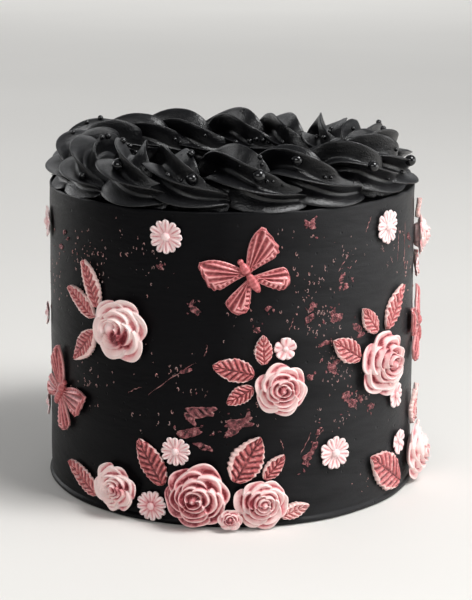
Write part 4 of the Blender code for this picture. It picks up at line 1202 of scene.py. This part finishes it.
class DropPearls(bpy.types.Operator):
    """Drop the sugar pearls on the rope"""

    bl_idname = "cake.drop_pearls"
    bl_label = "Drop the pearls"

    def execute(self, context):
        sugar_pearls()
        return {"FINISHED"}


class PlaceRoses(bpy.types.Operator):
    """Place the roses and the bud"""

    bl_idname = "cake.place_roses"
    bl_label = "Place the roses"

    def execute(self, context):
        settings = context.scene.cake_sugar
        finish = sugar_paste("blush_sugar_paste", settings.petal_pale, settings.petal_mid,
                             settings.petal_deep, 0.5, sheen=0.1)
        for entry in ROSES:
            sugar_rose(entry, ROSE_STEM, finish)
        sugar_rose(BUD, BUD_STEM, finish)
        return {"FINISHED"}


class PlaceLeaves(bpy.types.Operator):
    """Place the leaves round the roses"""

    bl_idname = "cake.place_leaves"
    bl_label = "Place the leaves"

    def execute(self, context):
        settings = context.scene.cake_sugar
        finish = sugar_paste("dusky_rose_sugar_paste", settings.leaf_pale, settings.leaf_mid,
                             settings.leaf_vein_paint_and_shade, 0.40, coat=0.1, grain=0.2)
        for entry in LEAVES:
            sugar_leaf(entry, finish)
        return {"FINISHED"}


class PlaceFlowers(bpy.types.Operator):
    """Place the daisies and the small blossoms"""

    bl_idname = "cake.place_flowers"
    bl_label = "Place the flowers"

    def execute(self, context):
        settings = context.scene.cake_sugar
        # On the daisies and blossoms the middle colour also gives the painted shadow along the petals' sides.
        finish = sugar_paste("pale_pink_sugar_paste", settings.blossom, settings.petal_mid,
                             settings.petal_deep, 0.5)
        for entry in DAISIES:
            sugar_flower(entry, finish, False)
        for entry in BLOSSOMS:
            sugar_flower(entry, finish, True)
        return {"FINISHED"}


class PlaceButterflies(bpy.types.Operator):
    """Place the butterflies"""

    bl_idname = "cake.place_butterflies"
    bl_label = "Place the butterflies"

    def execute(self, context):
        settings = context.scene.cake_sugar
        finish = sugar_paste("pearly_rose_sugar_paste", settings.wing_rib_highlight, settings.wing_mid,
                             settings.wing_deep, 0.36, metallic=0.2, coat=0.2, grain=0.08)
        for entry in BUTTERFLIES:
            sugar_butterfly(entry, finish)
        return {"FINISHED"}


class ScatterLeaf(bpy.types.Operator):
    """Scatter the metallic leaf and the droplets on the wall"""

    bl_idname = "cake.scatter_leaf"
    bl_label = "Scatter the leaf"

    def execute(self, context):
        metallic_scraps()
        droplets()
        return {"FINISHED"}


class SetStage(bpy.types.Operator):
    """Lay the floor and set the lights and the camera"""

    bl_idname = "cake.set_stage"
    bl_label = "Set the stage"

    def execute(self, context):
        stage_and_camera()
        return {"FINISHED"}


OPERATORS = (IceWall, PipeRope, DropPearls, PlaceRoses, PlaceLeaves, PlaceFlowers, PlaceButterflies,
             ScatterLeaf, SetStage)


class CakePanel(bpy.types.Panel):
    """Buttons for each kind of piece, in the order they are made"""

    bl_idname = "VIEW3D_PT_black_cake"
    bl_label = "Black celebration cake"
    bl_space_type = "VIEW_3D"
    bl_region_type = "UI"
    bl_category = "Cake"

    def draw(self, context):
        for group in SETTINGS:
            box = self.layout.box()
            for key in getattr(context.scene, group).bl_rna.properties.keys():
                if key not in ("rna_type", "name"):
                    box.prop(getattr(context.scene, group), key)
        for kind in OPERATORS:
            self.layout.operator(kind.bl_idname)


def register():
    for kind in (*SETTINGS.values(), *OPERATORS, CakePanel):
        bpy.utils.register_class(kind)
    for name, kind in SETTINGS.items():
        setattr(bpy.types.Scene, name, PointerProperty(type=kind))


def unregister():
    for name in SETTINGS:
        delattr(bpy.types.Scene, name)
    for kind in reversed((*SETTINGS.values(), *OPERATORS, CakePanel)):
        bpy.utils.unregister_class(kind)


def main():
    register()
    for kind in OPERATORS:
        group, call = kind.bl_idname.split(".")
        getattr(getattr(bpy.ops, group), call)()


if __name__ == "__main__":
    main()
